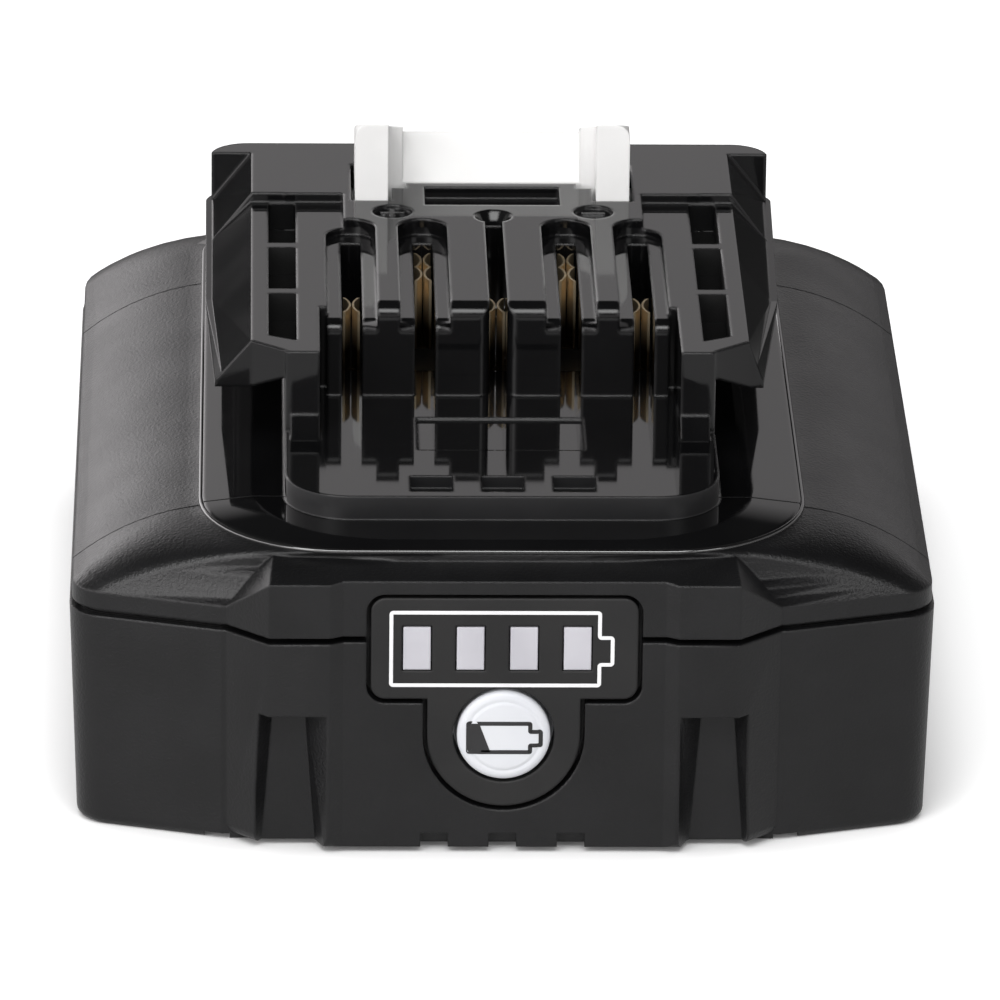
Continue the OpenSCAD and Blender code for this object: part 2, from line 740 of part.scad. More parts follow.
module lower_case() {
    color(shell_black)
        difference() {
            union() {
                difference() {
                    union() {
                        lower_shell();
                        chin_block();
                    }
                    lower_cavity();
                }
                for (p = screw_spots)
                    translate([p.x, p.y, wall / 2])
                        cylinder(r = boss_r, h = boss_top_z - wall / 2);
            }
            gauge_openings();
            gauge_bay();
            for (p = screw_spots) {
                translate([p.x, p.y, -over])
                    cylinder(d = screw_head_d + 4 * fit, h = screw_seat_z + over);
                translate([p.x, p.y, 0])
                    cylinder(d = screw_d + 2 * fit, h = parting_z);
                translate([p.x, p.y, boss_top_z])
                    cylinder(r = boss_r + fit, h = parting_z);
            }
            for (s = [-1, 1])
                translate([s * groove_x, 0, 0])
                    groove();
            for (i = [-1:1])
                box([i * notch_pitch - notch_w / 2, front_y - over, -over],
                    [i * notch_pitch + notch_w / 2, front_y + notch_in, chin_lift + notch_h]);
            for (x = foot_lines)
                both_sides()
                    box([x - foot_w / 2, front_y - over, -over], [x + foot_w / 2, back_y + over, foot_d]);
        }
}

module upper_shell() {
    loft(concat(
        [ring(upper_half, wall_front_y, back_y, front_r, corner_r, seam_top, shell_arc)],
        [for (i = [shell_steps:-1:0]) shoulder_ring(i / shell_steps, 0, shell_arc)],
        [ring(deck_half - lip_w, wall_front_y + lip_w, deck_back_y - lip_w,
            deck_r - lip_w, deck_rear_r - lip_w, deck_edge_z + lip_h, shell_arc, 0),
        ring(flat_half, wall_front_y + 2 * lip_w + lip_h, deck_back_y - over,
            deck_r - lip_w - lip_h, deck_rear_r - over, deck_z, shell_arc, 0)]));
}

module upper_cavity() {
    loft(concat(
        [for (z = [parting_z - tongue_h - over, seam_top])
            ring(upper_half - wall, wall_front_y + wall, back_y - wall,
                front_r - wall, corner_r - wall, z, cavity_arc)],
        [for (i = [cavity_steps - 1:-1:0]) shoulder_ring(i / cavity_steps, wall, cavity_arc)],
        [ring(flat_half, wall_front_y + wall + fit, deck_back_y - over / 2,
            deck_r - wall, deck_rear_r - wall, ceiling_z, cavity_arc, ceiling_fall)]));
}

// Sloping roof over the gauge, hipped down to the corners of the front block
module brow() {
    in_y = wall_front_y + wall;
    difference() {
        hull() {
            translate([0, 0, seam_top])
                linear_extrude(shoulder_z - seam_top)
                    polygon([[-chin_half, wall_front_y], [-pillar_half, front_y], [pillar_half, front_y],
                        [chin_half, wall_front_y], [chin_half, in_y], [-chin_half, in_y]]);
            box([-pillar_half, front_y, seam_top], [pillar_half, in_y, brow_z]);
            box([-brow_half, wall_front_y + brow_run, seam_top],
                [brow_half, in_y, deck_edge_z - brow_drop]);
        }
        gauge_openings();
    }
}

module tongue() {
    out = rim_t + fit;
    in = wall - 2 * fit;
    difference() {
        translate([0, 0, parting_z - tongue_h])
            linear_extrude(tongue_h + seam_gap + band_h / 2)
                difference() {
                    case_plan(out, out);
                    case_plan(in, in);
                }
        box([-recess_half - over, front_y, 0], [recess_half + over, wall_front_y + wall + over, crown_z]);
    }
}

// Cross-section of a rail: sloping underside, square edge, flat lip and sloping side
function rail_ring(y, half, lip_z, top) = [
    for (p = [[head_half - over, rail_base_z + rail_undercut], [head_half, rail_base_z + rail_undercut],
        [rail_flat_half, rail_base_z], [half, rail_base_z], [half, rail_base_z + rail_edge],
        [half - rail_lip, lip_z], [rail_flat_half, top], [head_half - over, top]]) [p.x, y, p.y]];

// One rail, cut to its plan: slanted front end, narrowing lead-in, rounded back corner
module rail(draw, lead) {
    tip_y = arm_front_y + rail_setback;
    crease_y = tip_y + rail_taper_l;
    edge_z = rail_base_z + rail_edge;
    flat_z = edge_z + eps;
    tip_half = rail_half - draw - lead;
    step_half = rail_half - draw * (head_back_y - step_y) / (head_back_y - crease_y);
    tip_lip_z = mix(edge_z, rail_z, rail_lip / (tip_half - rail_flat_half)) - fit / 2;
    intersection() {
        loft([rail_ring(head_back_y + over, rail_half, flat_z, crown_z),
            rail_ring(step_y + fit, step_half, flat_z, crown_z),
            rail_ring(step_y, step_half - eps, flat_z, rail_z),
            rail_ring(crease_y, rail_half - draw, flat_z, rail_z),
            rail_ring(tip_y, tip_half, tip_lip_z, rail_z),
            rail_ring(arm_front_y - over, tip_half, tip_lip_z, rail_z)]);
        linear_extrude(crown_z + over)
            intersection() {
                outline(rail_half, arm_front_y - over, head_back_y, eps, head_r);
                polygon([[head_half - 2 * over, arm_front_y], [head_half - arm_round, arm_front_y],
                    [rail_flat_half, tip_y], [rail_half + over, tip_y],
                    [rail_half + over, head_back_y + over], [head_half - 2 * over, head_back_y + over]]);
            }
    }
}

module head_solid() {
    translate([0, 0, ceiling_z + over])
        linear_extrude(plate_z - ceiling_z - over)
            outline(head_half, plate_front_y, head_back_y, plate_r, head_r);
    translate([0, 0, plate_z - eps])
        linear_extrude(rail_rise + eps)
            difference() {
                outline(head_half, arm_front_y, head_back_y, arm_round, head_r);
                translate([-bay_half, arm_front_y - over])
                    square([2 * bay_half, bay_l + over]);
                both_sides()
                    translate([block_half, ridge_front_y - over])
                        square([channel_w, channel_l + over]);
            }
    translate([0, 0, rail_z - eps])
        linear_extrude(crown_step + eps)
            union() {
                translate([-crown_half, ridge_front_y])
                    square([2 * crown_half, step_y + eps - ridge_front_y]);
                outline(head_half, step_y, head_back_y, fit, head_r);
            }
    translate([0, 0, rail_base_z])
        linear_extrude(crown_z - rail_base_z)
            intersection() {
                outline(stop_half, arm_front_y, head_back_y, head_r, head_r);
                translate([-stop_half, head_back_y - stop_l])
                    square([2 * stop_half, stop_l]);
            }
    rail(draw_right, lead_right);
    mirror([1, 0, 0])
        rail(draw_left, lead_left);
    both_sides()
        side_plate(bay_half, head_half - arm_round)
            polygon([[arm_front_y - gusset, plate_z - eps], [arm_front_y + eps, plate_z - eps],
                [arm_front_y + eps, plate_z + gusset]]);
}

module rail_pockets() {
    pocket_y = arm_front_y + rail_setback + pocket_rib;
    len = (step_y - pocket_y - 2 * pocket_rib - fit) / 3;
    in_x = pocket_x - pocket_w / 2;
    out_x = pocket_x + pocket_w / 2;
    for (i = [0:2]) {
        y = pocket_y + i * (len + pocket_rib);
        slant = i == 0 ? pocket_slant : 0;
        both_sides()
            translate([0, 0, rail_z - pocket_d])
                linear_extrude(crown_z - rail_z + pocket_d)
                    polygon([[in_x, y - slant], [out_x, y], [out_x, y + len], [in_x, y + len]]);
    }
}

// Cutter that rounds a front edge along X
module front_round(x0, x1, y, z, r) {
    difference() {
        box([x0, y - over, z - r], [x1, y + r, z + over]);
        translate([x0 - over, y + r, z - r])
            rotate([0, 90, 0])
                cylinder(r = r, h = x1 - x0 + 2 * over);
    }
}

// Slots open to the front: a wide part above the ledges and a slit down to the terminals
module terminal_slots() {
    front_round(fit - bay_half, bay_half - fit, ridge_front_y, crown_z, ridge_round);
    both_sides()
        translate([slit_w / 2 - fit, ridge_front_y, plate_z])
            linear_extrude(crown_z)
                difference() {
                    translate([-over, -over])
                        square([mouth_r + over, mouth_r + over]);
                    translate([mouth_r, mouth_r])
                        circle(mouth_r);
                    translate([-2 * over, mouth_r])
                        square(2 * over);
                }
    for (i = [-2, -1, 1, 2]) {
        x = i * slot_pitch;
        front_round(x - slot_w / 2, x + slot_w / 2, ridge_front_y, ledge_z, ledge_round);
        box([x - slot_w / 2, ridge_front_y - over, ledge_z],
            [x + slot_w / 2, slot_back_y - slot_w / 2, crown_z + over]);
        translate([x, slot_back_y - slot_w / 2, ledge_z])
            cylinder(d = slot_w, h = ledge_d + over);
    }
    for (i = [-2:2]) {
        x = i * slot_pitch;
        w = (i == 0 ? slit_w - 2 * fit : slit_w) / 2;
        back = i == 0 ? dimple_y : slit_back_y;
        box([x - w, ridge_front_y - over, plate_z], [x + w, back, crown_z + over]);
        box([x - w, carrier_front_y, carrier_z], [x + w, slit_back_y, plate_z + over]);
    }
    translate([0, dimple_y, crown_z - dimple_d])
        cylinder(r1 = slit_w / 2 + fit, r2 = dimple_r, h = dimple_d + eps);
}

// Polarity marks: a raised plus and minus, each in a round recess
module polarity_marks() {
    mark_y = slot_back_y + mark_r + fit;
    for (s = [-1, 1])
        translate([s * mark_x, mark_y, crown_z - mark_d])
            difference() {
                cylinder(r = mark_r, h = mark_d + over);
                box([-mark_bar, -mark_line / 2, -over], [mark_bar, mark_line / 2, mark_d - fit]);
                if (s < 0)
                    box([-mark_line / 2, -mark_bar, -over], [mark_line / 2, mark_bar, mark_d - fit]);
            }
}

module plate_pockets() {
    for (i = [-1:1])
        box([i * key_pitch - key_w / 2, plate_front_y + key_margin, plate_z - key_d],
            [i * key_pitch + key_w / 2, plate_front_y + key_margin + key_l, plate_z + over]);
    box([-field_half, arm_front_y - field_l / 2, plate_z - field_d],
        [field_half, arm_front_y + field_l / 2, plate_z + over]);
}

module latch_room() {
    g = latch_gap;
    box([-carriage_half - g, carriage_y - g, cell_z],
        [carriage_half + g, carriage_back_y + g, crown_z - wall]);
    box([-prong_half - g, bar_y - g, crown_z - wall - over],
        [prong_half + g, bar_back_y + g, crown_z + over]);
    both_sides()
        union() {
            box([prong_half - prong_w - g, prong_y - g, crown_z - wall - over],
                [prong_half + g, bar_back_y, crown_z + over]);
            box([prong_half - prong_w - latch_fillet - g, bar_y - latch_fillet - g, crown_z - wall - over],
                [prong_half + g, bar_back_y, crown_z + over]);
        }
    box([-thumb_half - g, carriage_back_y, deck_z],
        [thumb_half + g, head_back_y + over, thumb_z + thumb_h + g]);
    box([-catch_half, prong_y - catch_lead, crown_z - catch_d],
        [catch_half, bar_y - catch_rib, crown_z + over]);
}

module board_room() {
    box([-board_half - 4 * fit, board_front_y - 3 * fit, cell_z],
        [board_half + 4 * fit, board_back_y + 3 * fit, hollow_z]);
    box([-carrier_half - 3 * fit, carrier_front_y - 3 * fit, cell_z],
        [carrier_half + 3 * fit, carrier_back_y + 3 * fit, carrier_z + fit]);
}

module upper_case() {
    color(shell_black)
        union() {
            difference() {
                union() {
                    upper_shell();
                    brow();
                    head_solid();
                }
                upper_cavity();
                gauge_openings();
                gauge_bay();
                board_room();
                latch_room();
                rail_pockets();
                terminal_slots();
                polarity_marks();
                plate_pockets();
                for (p = screw_spots)
                    translate([p.x, p.y, 0])
                        cylinder(d = screw_d + fit, h = column_top_z - column_cap / 2);
            }
            difference() {
                tongue();
                for (p = screw_spots)
                    translate([p.x, p.y, 0])
                        cylinder(r = boss_r - fit, h = crown_z);
            }
            for (p = screw_spots)
                translate([p.x, p.y, boss_top_z])
                    difference() {
                        cylinder(r = boss_r, h = column_top_z - boss_top_z);
                        translate([0, 0, -over])
                            cylinder(d = screw_d + fit,
                                h = column_top_z - boss_top_z - column_cap / 2 + over);
                    }
        }
}

module window_row(w, h, y0, y1) {
    for (i = [-1.5:1.5])
        translate([window_x + i * window_pitch, 0, 0])
            box([-w / 2, y0, window_z - h / 2], [w / 2, y1, window_z + h / 2]);
}

module gauge_panel() {
    color(panel_grey)
        difference() {
            union() {
                front_plate(panel_y, flange_y)
                    panel_outline(0);
                front_plate(gauge_in_y, flange_y)
                    panel_outline(flange_w);
            }
            window_row(window_w, window_h, panel_y - over, flange_y + over);
            translate([0, flange_y + over, button_z])
                rotate([90, 0, 0])
                    cylinder(d = button_d + 2 * button_gap, h = flange_y - panel_y + 2 * over);
        }
}

module light_guide() {
    half = 1.5 * window_pitch + window_w / 2 + guide_rim;
    color(clear_plastic)
        union() {
            box([window_x - half, flange_y, window_z - window_h / 2 - guide_rim],
                [window_x + half, guide_y, window_z + window_h / 2 + guide_rim]);
            window_row(window_w - 2 * fit, window_h - 2 * fit, panel_y, flange_y + eps);
        }
}

module check_button() {
    rim_y = flange_y + button_play;
    color(white_plastic)
        translate([0, 0, button_z])
            rotate([-90, 0, 0])
                difference() {
                    union() {
                        translate([0, 0, panel_y - button_out])
                            cylinder(d = button_d, h = rim_y - panel_y + button_out + eps);
                        translate([0, 0, rim_y])
                            cylinder(d = button_d + 2 * button_rim, h = button_rim_t);
                    }
                    translate([0, 0, panel_y - button_out - over])
                        difference() {
                            cylinder(r = button_ring_r + button_ring_w, h = over + button_ring_w);
                            cylinder(r = button_ring_r, h = 2 * over);
                        }
                }
}

module switch_plunger() {
    color(part_black)
        translate([0, button_back_y, button_z])
            rotate([-90, 0, 0])
                cylinder(d = plunger_d, h = button_travel + fit);
}

module check_switch() {
    color(nickel_grey)
        difference() {
            box([-switch_w / 2, switch_y, button_z - switch_h / 2],
                [switch_w / 2, gauge_board_y, button_z + switch_h / 2]);
            translate([0, switch_y - over, button_z])
                rotate([-90, 0, 0])
                    cylinder(d = plunger_d + 6 * fit, h = switch_t + 2 * over);
        }
}

module gauge_board() {
    color(board_green)
        box([-gauge_board_half, gauge_board_y, gauge_floor_z],
            [gauge_board_half, gauge_board_back_y, gauge_top_z - 2 * fit]);
}

module gauge_leds() {
    color(white_plastic)
        window_row(led_w, led_h, gauge_board_y - led_t, gauge_board_y);
}

module gauge_ribbon() {
    x = cell_pitch / 2;
    t = ribbon_t;
    low = ceiling_z - ribbon_drop;
    color(part_black)
        side_plate(x - ribbon_w / 2, x + ribbon_w / 2)
            polygon([[gauge_board_back_y, low - ribbon_tail], [gauge_board_back_y + t, low - ribbon_tail],
                [gauge_board_back_y + t, low - t], [board_front_y, low - t],
                [board_front_y + ribbon_drop, ceiling_z - t], [board_front_y + ribbon_tail, ceiling_z - t],
                [board_front_y + ribbon_tail, ceiling_z], [board_front_y + ribbon_drop - t, ceiling_z],
                [board_front_y - t, low], [gauge_board_back_y, low]]);
}

module main_board() {
    color(board_green)
        box([-board_half, board_front_y, board_z], [board_half, board_back_y, board_top_z]);
}

module control_chip() {
    y = (board_front_y + carrier_front_y) / 2;
    color(part_black)
        box([-chip_w / 2, y, board_top_z], [chip_w / 2, y + chip_w, board_top_z + chip_t]);
}

module power_transistors() {
    y = (board_front_y + carrier_front_y) / 2;
    color(part_black)
        both_sides()
            box([chip_w, y - chip_w / 2, board_top_z],
                [2 * chip_w - over, y + chip_w / 2, board_top_z + chip_t]);
}

module terminal_feet(grow) {
    for (i = [-2:2])
        terminal_foot(i, grow);
}

function terminal_front(i) = terminal_y + (abs(i) == 1 ? inner_back : 0);
function leaf_pairs(i) = abs(i) == 1 ? 2 : 1;

module terminal_foot(i, grow) {
    half = leaf_bow + leaf_t + grow;
    y = terminal_front(i);
    box([i * slot_pitch - half, y + foot_in - grow, board_top_z],
        [i * slot_pitch + half, y + leaf_pairs(i) * leaf_l - foot_in + grow, carrier_z + fit]);
}

module terminal_carrier() {
    color(part_black)
        difference() {
            box([-carrier_half, carrier_front_y, board_top_z], [carrier_half, carrier_back_y, carrier_z]);
            translate([0, 0, -over])
                terminal_feet(fit);
            translate([0, 0, over])
                terminal_feet(fit);
        }
}

// Pair of bowed leaves that nearly meet half way along
module leaf_pair() {
    both_sides()
        intersection() {
            translate([leaf_r + leaf_t / 4, 0])
                difference() {
                    circle(leaf_r, $fn = 120);
                    circle(leaf_r - leaf_t, $fn = 120);
                }
            square([4 * (leaf_bow + leaf_t), leaf_l], center = true);
        }
}

// Foot in the carrier with one pair of leaves, or two pairs one behind the other
module terminal(i) {
    top = plate_z + leaf_rise + (abs(i) == 1 ? crown_step : 0);
    color(brass_gold)
        union() {
            terminal_foot(i, 0);
            for (k = [0:leaf_pairs(i) - 1])
                translate([i * slot_pitch, terminal_front(i) + (k + 0.5) * leaf_l, carrier_z + fit - eps])
                    linear_extrude(top - carrier_z - fit + eps)
                        leaf_pair();
        }
}

module terminal_positive() {
    terminal(-2);
}

module terminal_sense_positive() {
    terminal(-1);
}

module terminal_data() {
    terminal(0);
}

module terminal_sense_negative() {
    terminal(1);
}

module terminal_negative() {
    terminal(2);
}

// Plan of one side of the hook: a leg that runs forward, with a concave rounding to the bar
module leg_plan() {
    in_x = prong_half - prong_w;
    difference() {
        translate([in_x - latch_fillet, prong_y])
            square([latch_fillet + prong_w, bar_back_y - prong_y]);
        translate([in_x - latch_fillet, prong_y - over])
            square([latch_fillet, bar_y - latch_fillet - prong_y + over]);
        translate([in_x - latch_fillet, bar_y - latch_fillet])
            circle(latch_fillet);
    }
}

// Side outline of the hook from the carriage up to tops that fall towards the back
module hook_side(front, crest, top) {
    polygon([[front, carriage_z], [bar_back_y, carriage_z],
        [bar_back_y, top - (bar_back_y - crest) * tan(hook_slope)], [crest, top], [front, crown_z]]);
}

module prong() {
    intersection() {
        translate([0, 0, carriage_z])
            linear_extrude(crown_z + prong_rise - carriage_z)
                leg_plan();
        side_plate(0, prong_half)
            hook_side(prong_y, prong_y + eps, crown_z + prong_rise);
        front_plate(prong_y, bar_back_y)
            outline(prong_half, carriage_z, crown_z + prong_rise, eps, prong_round);
    }
}

module latch_hook() {
    in_x = prong_half - prong_w - latch_fillet + eps;
    color(white_plastic)
        union() {
            box([-carriage_half, carriage_y, carriage_z],
                [carriage_half, carriage_back_y, carriage_top_z]);
            box([-thumb_half, carriage_back_y - over, carriage_z],
                [thumb_half, carriage_back_y + latch_gap + eps, carriage_top_z]);
            box([-thumb_half, carriage_back_y + latch_gap, thumb_z],
                [thumb_half, head_back_y + thumb_out, thumb_z + thumb_h]);
            side_plate(-in_x, in_x)
                hook_side(bar_y, bar_y + ramp_l, crown_z + bar_rise);
            both_sides()
                prong();
        }
}

// Round wire wound from the holder post up to the latch carriage
module spring() {
    sides = 6;
    per_turn = 12;
    n = round(per_turn * spring_turns);
    r = spring_wire / 2;
    rise = spring_h - spring_wire;
    echo(str("spring gap ", rise / spring_turns - spring_wire, " mm"));
    loft([for (k = [0:n]) let (a = 360 * k / per_turn, z = r + rise * k / n)
        [for (j = [0:sides - 1]) let (b = -360 * j / sides, d = spring_d / 2 + r * cos(b))
            [d * cos(a), d * sin(a), z + r * sin(b)]]]);
}

module latch_springs() {
    color(nickel_grey)
        for (s = [-1, 1])
            translate([s * spring_x, spring_y, ceiling_z])
                spring();
}

module cell(i) {
    color(cell_sleeve)
        translate([i * cell_pitch, cell_front_y, cell_z])
            rotate([-90, 0, 0])
                cylinder(r = cell_r, h = cell_l);
}

module cell_left() {
    cell(-1);
}

module cell_centre() {
    cell(0);
}

module cell_right() {
    cell(1);
}

// Cradle for the cell ends with two posts that rise between the cells to the main board
module cell_holder(y0, y1, p0, p1) {
    color(part_black)
        difference() {
            union() {
                box([-inner_half + holder_play, y0, wall],
                    [inner_half - holder_play, y1, cell_z + holder_grip]);
                both_sides()
                    box([spring_x - post_w / 2, p0, cell_z], [spring_x + post_w / 2, p1, ceiling_z]);
            }
            for (i = [-1:1])
                translate([i * cell_pitch, y0 - over, cell_z])
                    rotate([-90, 0, 0])
                        cylinder(r = cell_r + cell_fit, h = y1 - y0 + 2 * over);
        }
}

module cell_holder_front() {
    y = cell_front_y + holder_l;
    cell_holder(cell_front_y, y, y - post_l, y);
}

module cell_holder_rear() {
    y = cell_back_y - holder_l;
    cell_holder(y, cell_back_y, y, y + post_l);
}

module strip_plate(i, j, y) {
    box([i * cell_pitch - strip_w / 2, y, cell_z - strip_w / 2],
        [j * cell_pitch + strip_w / 2, y + strip_t, cell_z + strip_w / 2]);
}

module strip_front() {
    color(nickel_grey)
        strip_plate(-1, 0, cell_front_y - strip_t);
}

module strip_rear() {
    color(nickel_grey)
        strip_plate(0, 1, cell_back_y);
}

// End plate on an outer cell, a riser, and a tab along the cell to the edge of the main board
module strip_tab(y_end, y_lead, y_tab) {
    x0 = board_half + over;
    top = ceiling_z - fit;
    union() {
        box([x0, y_end, cell_z], [x0 + tab_w, y_end + strip_t, top]);
        box([x0, min(y_lead, y_tab), top - strip_t], [x0 + tab_w, max(y_lead, y_tab), top]);
        box([board_half - 2 * over, y_tab - strip_w / 4, top - strip_t],
            [x0 + tab_w, y_tab + strip_w / 4, top]);
    }
}

module strip_positive() {
    color(nickel_grey)
        union() {
            strip_plate(-1, -1, cell_back_y);
            mirror([1, 0, 0])
                strip_tab(cell_back_y, cell_back_y + strip_t, board_back_y - strip_w / 2);
        }
}

module strip_negative() {
    color(nickel_grey)
        union() {
            strip_plate(1, 1, cell_front_y - strip_t);
            strip_tab(cell_front_y - strip_t, cell_front_y - strip_t, board_front_y + strip_w / 4);
        }
}

module insulator(y) {
    color(sheet_tan)
        box([-cell_pitch - strip_w / 2 - over, y, wall + holder_rim + over],
            [cell_pitch + strip_w / 2 + over, y + sheet_t, shoulder_z - over]);
}

module insulator_front() {
    insulator(cell_front_y - strip_t - sheet_t);
}

module insulator_rear() {
    insulator(cell_back_y + strip_t);
}

module base_cushion() {
    color(foam_grey)
        box([-cell_pitch - strip_w / 2, cell_front_y + holder_l + over, wall],
            [cell_pitch + strip_w / 2, cell_back_y - holder_l - over, wall + holder_rim]);
}

// Bead that lies between two cells, with two leads up to the main board
module temperature_sensor() {
    x = -cell_pitch / 2;
    z = cell_z + sqrt(pow(cell_r + bead_d / 2 + fit, 2) - pow(x, 2));
    y = (cell_front_y + cell_back_y) / 2;
    color(foam_grey)
        union() {
            translate([x, y - bead_l / 2, z])
                rotate([-90, 0, 0])
                    cylinder(d = bead_d, h = bead_l);
            for (s = [-1, 1])
                translate([x, y + s * bead_l / 4, z])
                    cylinder(d = lead_d, h = ceiling_z - z);
        }
}

module case_screws() {
    color(nickel_grey)
        for (p = screw_spots)
            translate([p.x, p.y, screw_seat_z])
                union() {
                    translate([0, 0, -screw_head_h])
                        difference() {
                            cylinder(d = screw_head_d, h = screw_head_h);
                            translate([0, 0, -over])
                                cylinder(d = screw_d / 2, h = screw_head_h / 2 + over);
                        }
                    translate([0, 0, -eps])
                        cylinder(d = screw_d, h = screw_l);
                }
}

lower_case();
upper_case();
gauge_panel();
light_guide();
check_button();
switch_plunger();
check_switch();
gauge_board();
gauge_leds();
gauge_ribbon();
main_board();
control_chip();
power_transistors();
terminal_carrier();
terminal_positive();
terminal_sense_positive();
terminal_data();
terminal_sense_negative();
terminal_negative();
latch_hook();
latch_springs();
cell_left();
cell_centre();
cell_right();
cell_holder_front();
cell_holder_rear();
strip_positive();
strip_front();
strip_rear();
strip_negative();
insulator_front();
insulator_rear();
base_cushion();
temperature_sensor();
case_screws();
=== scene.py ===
# %% [markdown]
# # A slide-on battery pack, dressed for the studio
# The pack is a black case in two mouldings with a polished head that slides into a tool, a white
# sprung latch, a charge gauge on the front and brass contacts in five slots. The CAD frame fixes
# every size. This lesson gives each moulding its finish and adds the thin things that a moulder, a
# printer or a spring winder adds last: softened edges, a polished bead, mould marks, ink and wire.

# %% Load the frame
import json
import bpy
import bmesh
import numpy as np
from mathutils import Matrix, Vector


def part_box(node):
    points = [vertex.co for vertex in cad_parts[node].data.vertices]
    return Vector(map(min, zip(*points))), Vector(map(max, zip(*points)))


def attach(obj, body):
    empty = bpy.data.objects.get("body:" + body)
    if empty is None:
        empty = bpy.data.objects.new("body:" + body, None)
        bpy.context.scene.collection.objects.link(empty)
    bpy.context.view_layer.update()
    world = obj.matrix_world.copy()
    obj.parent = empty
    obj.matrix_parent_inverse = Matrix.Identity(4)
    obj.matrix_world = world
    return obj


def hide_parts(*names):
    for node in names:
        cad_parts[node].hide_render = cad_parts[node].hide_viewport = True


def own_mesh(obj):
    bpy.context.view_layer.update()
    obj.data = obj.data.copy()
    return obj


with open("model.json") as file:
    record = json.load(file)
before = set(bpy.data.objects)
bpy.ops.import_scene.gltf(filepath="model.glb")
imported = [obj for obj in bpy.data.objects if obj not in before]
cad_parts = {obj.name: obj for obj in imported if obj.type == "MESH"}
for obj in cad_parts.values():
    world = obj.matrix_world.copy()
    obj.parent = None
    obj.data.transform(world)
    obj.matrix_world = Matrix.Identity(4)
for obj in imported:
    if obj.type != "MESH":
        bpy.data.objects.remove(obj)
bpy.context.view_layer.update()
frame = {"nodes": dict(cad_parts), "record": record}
NODES = frame["nodes"]
MM = 0.001
SLOT_OF = {part["node"]: part["material_slot"] for part in frame["record"]["subparts"]}
BODY_OF = {node: body for body, nodes in frame["record"]["behaviour"]["bodies"].items() for node in nodes}

# %% [markdown]
# ## Camera
# The photograph is a long-lens shot from a little above the gauge end. The distance and the turn come
# from matching left and right corners of the pack, so a vector from the target gives the place and
# three axes give the turn, with a small roll of the frame. A tracking constraint could aim the camera
# too, but a matrix also holds the roll.

# %% Camera
CAMERA_TARGET = Vector((0.57, 0.5, 13.02)) * MM
CAMERA_DISTANCE = 834.0 * MM
CAMERA_ELEVATION, CAMERA_AZIMUTH, CAMERA_ROLL = np.radians((21.01, -1.47, 0.67))
CAMERA_LENS, CAMERA_SENSOR = 378.4, 36.0

back = Vector((np.sin(CAMERA_AZIMUTH) * np.cos(CAMERA_ELEVATION),
               -np.cos(CAMERA_AZIMUTH) * np.cos(CAMERA_ELEVATION), np.sin(CAMERA_ELEVATION)))
level = (-back).cross(Vector((0, 0, 1))).normalized()
rise = level.cross(-back)
right = level * np.cos(CAMERA_ROLL) + rise * np.sin(CAMERA_ROLL)
up = rise * np.cos(CAMERA_ROLL) - level * np.sin(CAMERA_ROLL)

camera_data = bpy.data.cameras.new("camera")
camera_data.lens, camera_data.sensor_width = CAMERA_LENS, CAMERA_SENSOR
camera_data.clip_start, camera_data.clip_end = 10 * MM, 20.0
camera = bpy.data.objects.new("camera", camera_data)
camera.matrix_world = Matrix.Translation(CAMERA_TARGET + back * CAMERA_DISTANCE) @ Matrix(
    (right, up, back)).transposed().to_4x4()
bpy.context.scene.collection.objects.link(camera)
bpy.context.scene.camera = camera
bpy.context.scene.view_settings.view_transform = "Standard"
print("camera at", [round(c / MM, 1) for c in camera.location], "mm")

# %% [markdown]
# ## Studio
# Black gloss shows the room more than itself. The level tops mirror a pale horizon behind the pack, the
# slopes mirror a broad soft box over the front, and two smaller boxes at the front corners light the
# shoulders and the walls, while the ceiling is dark. A picture of a room could light the pack too, but a
# sky gradient for the horizon and area lamps for the boxes can each be set by themselves. The floor is
# pale paper: to the camera it also glows a little, so it reaches white, less so in corners that little
# light enters, and the pack's shadow still shows on it. For reflections the paper ends just behind the
# pack, where the room is dark.

# %% Studio helpers
def new_tree(owner):
    """An empty node tree for a material or the world, and a function that adds and links nodes by name."""
    owner.use_nodes = True
    owner.node_tree.nodes.clear()
    tree = owner.node_tree

    def add(kind, inputs=(), **settings):
        node = tree.nodes.new("ShaderNode" + kind)
        for name, value in settings.items():
            setattr(node, name, value)
        for name, value in dict(inputs).items():
            if isinstance(value, bpy.types.NodeSocket):
                tree.links.new(value, node.inputs[name])
            else:
                node.inputs[name].default_value = value
        return node

    return add


def ramp(add, factor, stops):
    """A colour ramp on factor: stops are (position, grey or colour) pairs in rising order."""
    node = add("ValToRGB", {"Fac": factor})
    for k, (position, colour) in enumerate(stops):
        element = node.color_ramp.elements[k] if k < 2 else node.color_ramp.elements.new(position)
        element.position = position
        element.color = (*colour, 1) if isinstance(colour, tuple) else (colour, colour, colour, 1)
    return node.outputs["Color"]


# %% Sky
PALE = (1.0, 0.97, 0.98)
# The sky's colour over the height of a direction, and its strength from left to right
SKY_STOPS = ((0.025, 0.02), (0.075, PALE), (0.39, PALE), (0.47, 0.04))
SIDE_STOPS = ((0.32, 2.7), (0.40, 1.35), (0.46, 0.66), (0.50, 0.63), (0.56, 0.54), (0.68, 0.58))
world = bpy.data.worlds.new("studio")
bpy.context.scene.world = world
add = new_tree(world)
way = add("SeparateXYZ", {"Vector": add("TexCoord").outputs["Generated"]})
across = add("MapRange", {"Value": way.outputs["X"], "From Min": -1.0})
sky = add("Background", {"Color": ramp(add, way.outputs["Z"], SKY_STOPS),
                         "Strength": ramp(add, across.outputs["Result"], SIDE_STOPS)})
paper_white = add("Background", {"Color": (1, 1, 1, 1)})
sees = add("LightPath").outputs["Is Camera Ray"]
mixed = add("MixShader", {0: sees, 1: sky.outputs[0], 2: paper_white.outputs[0]})
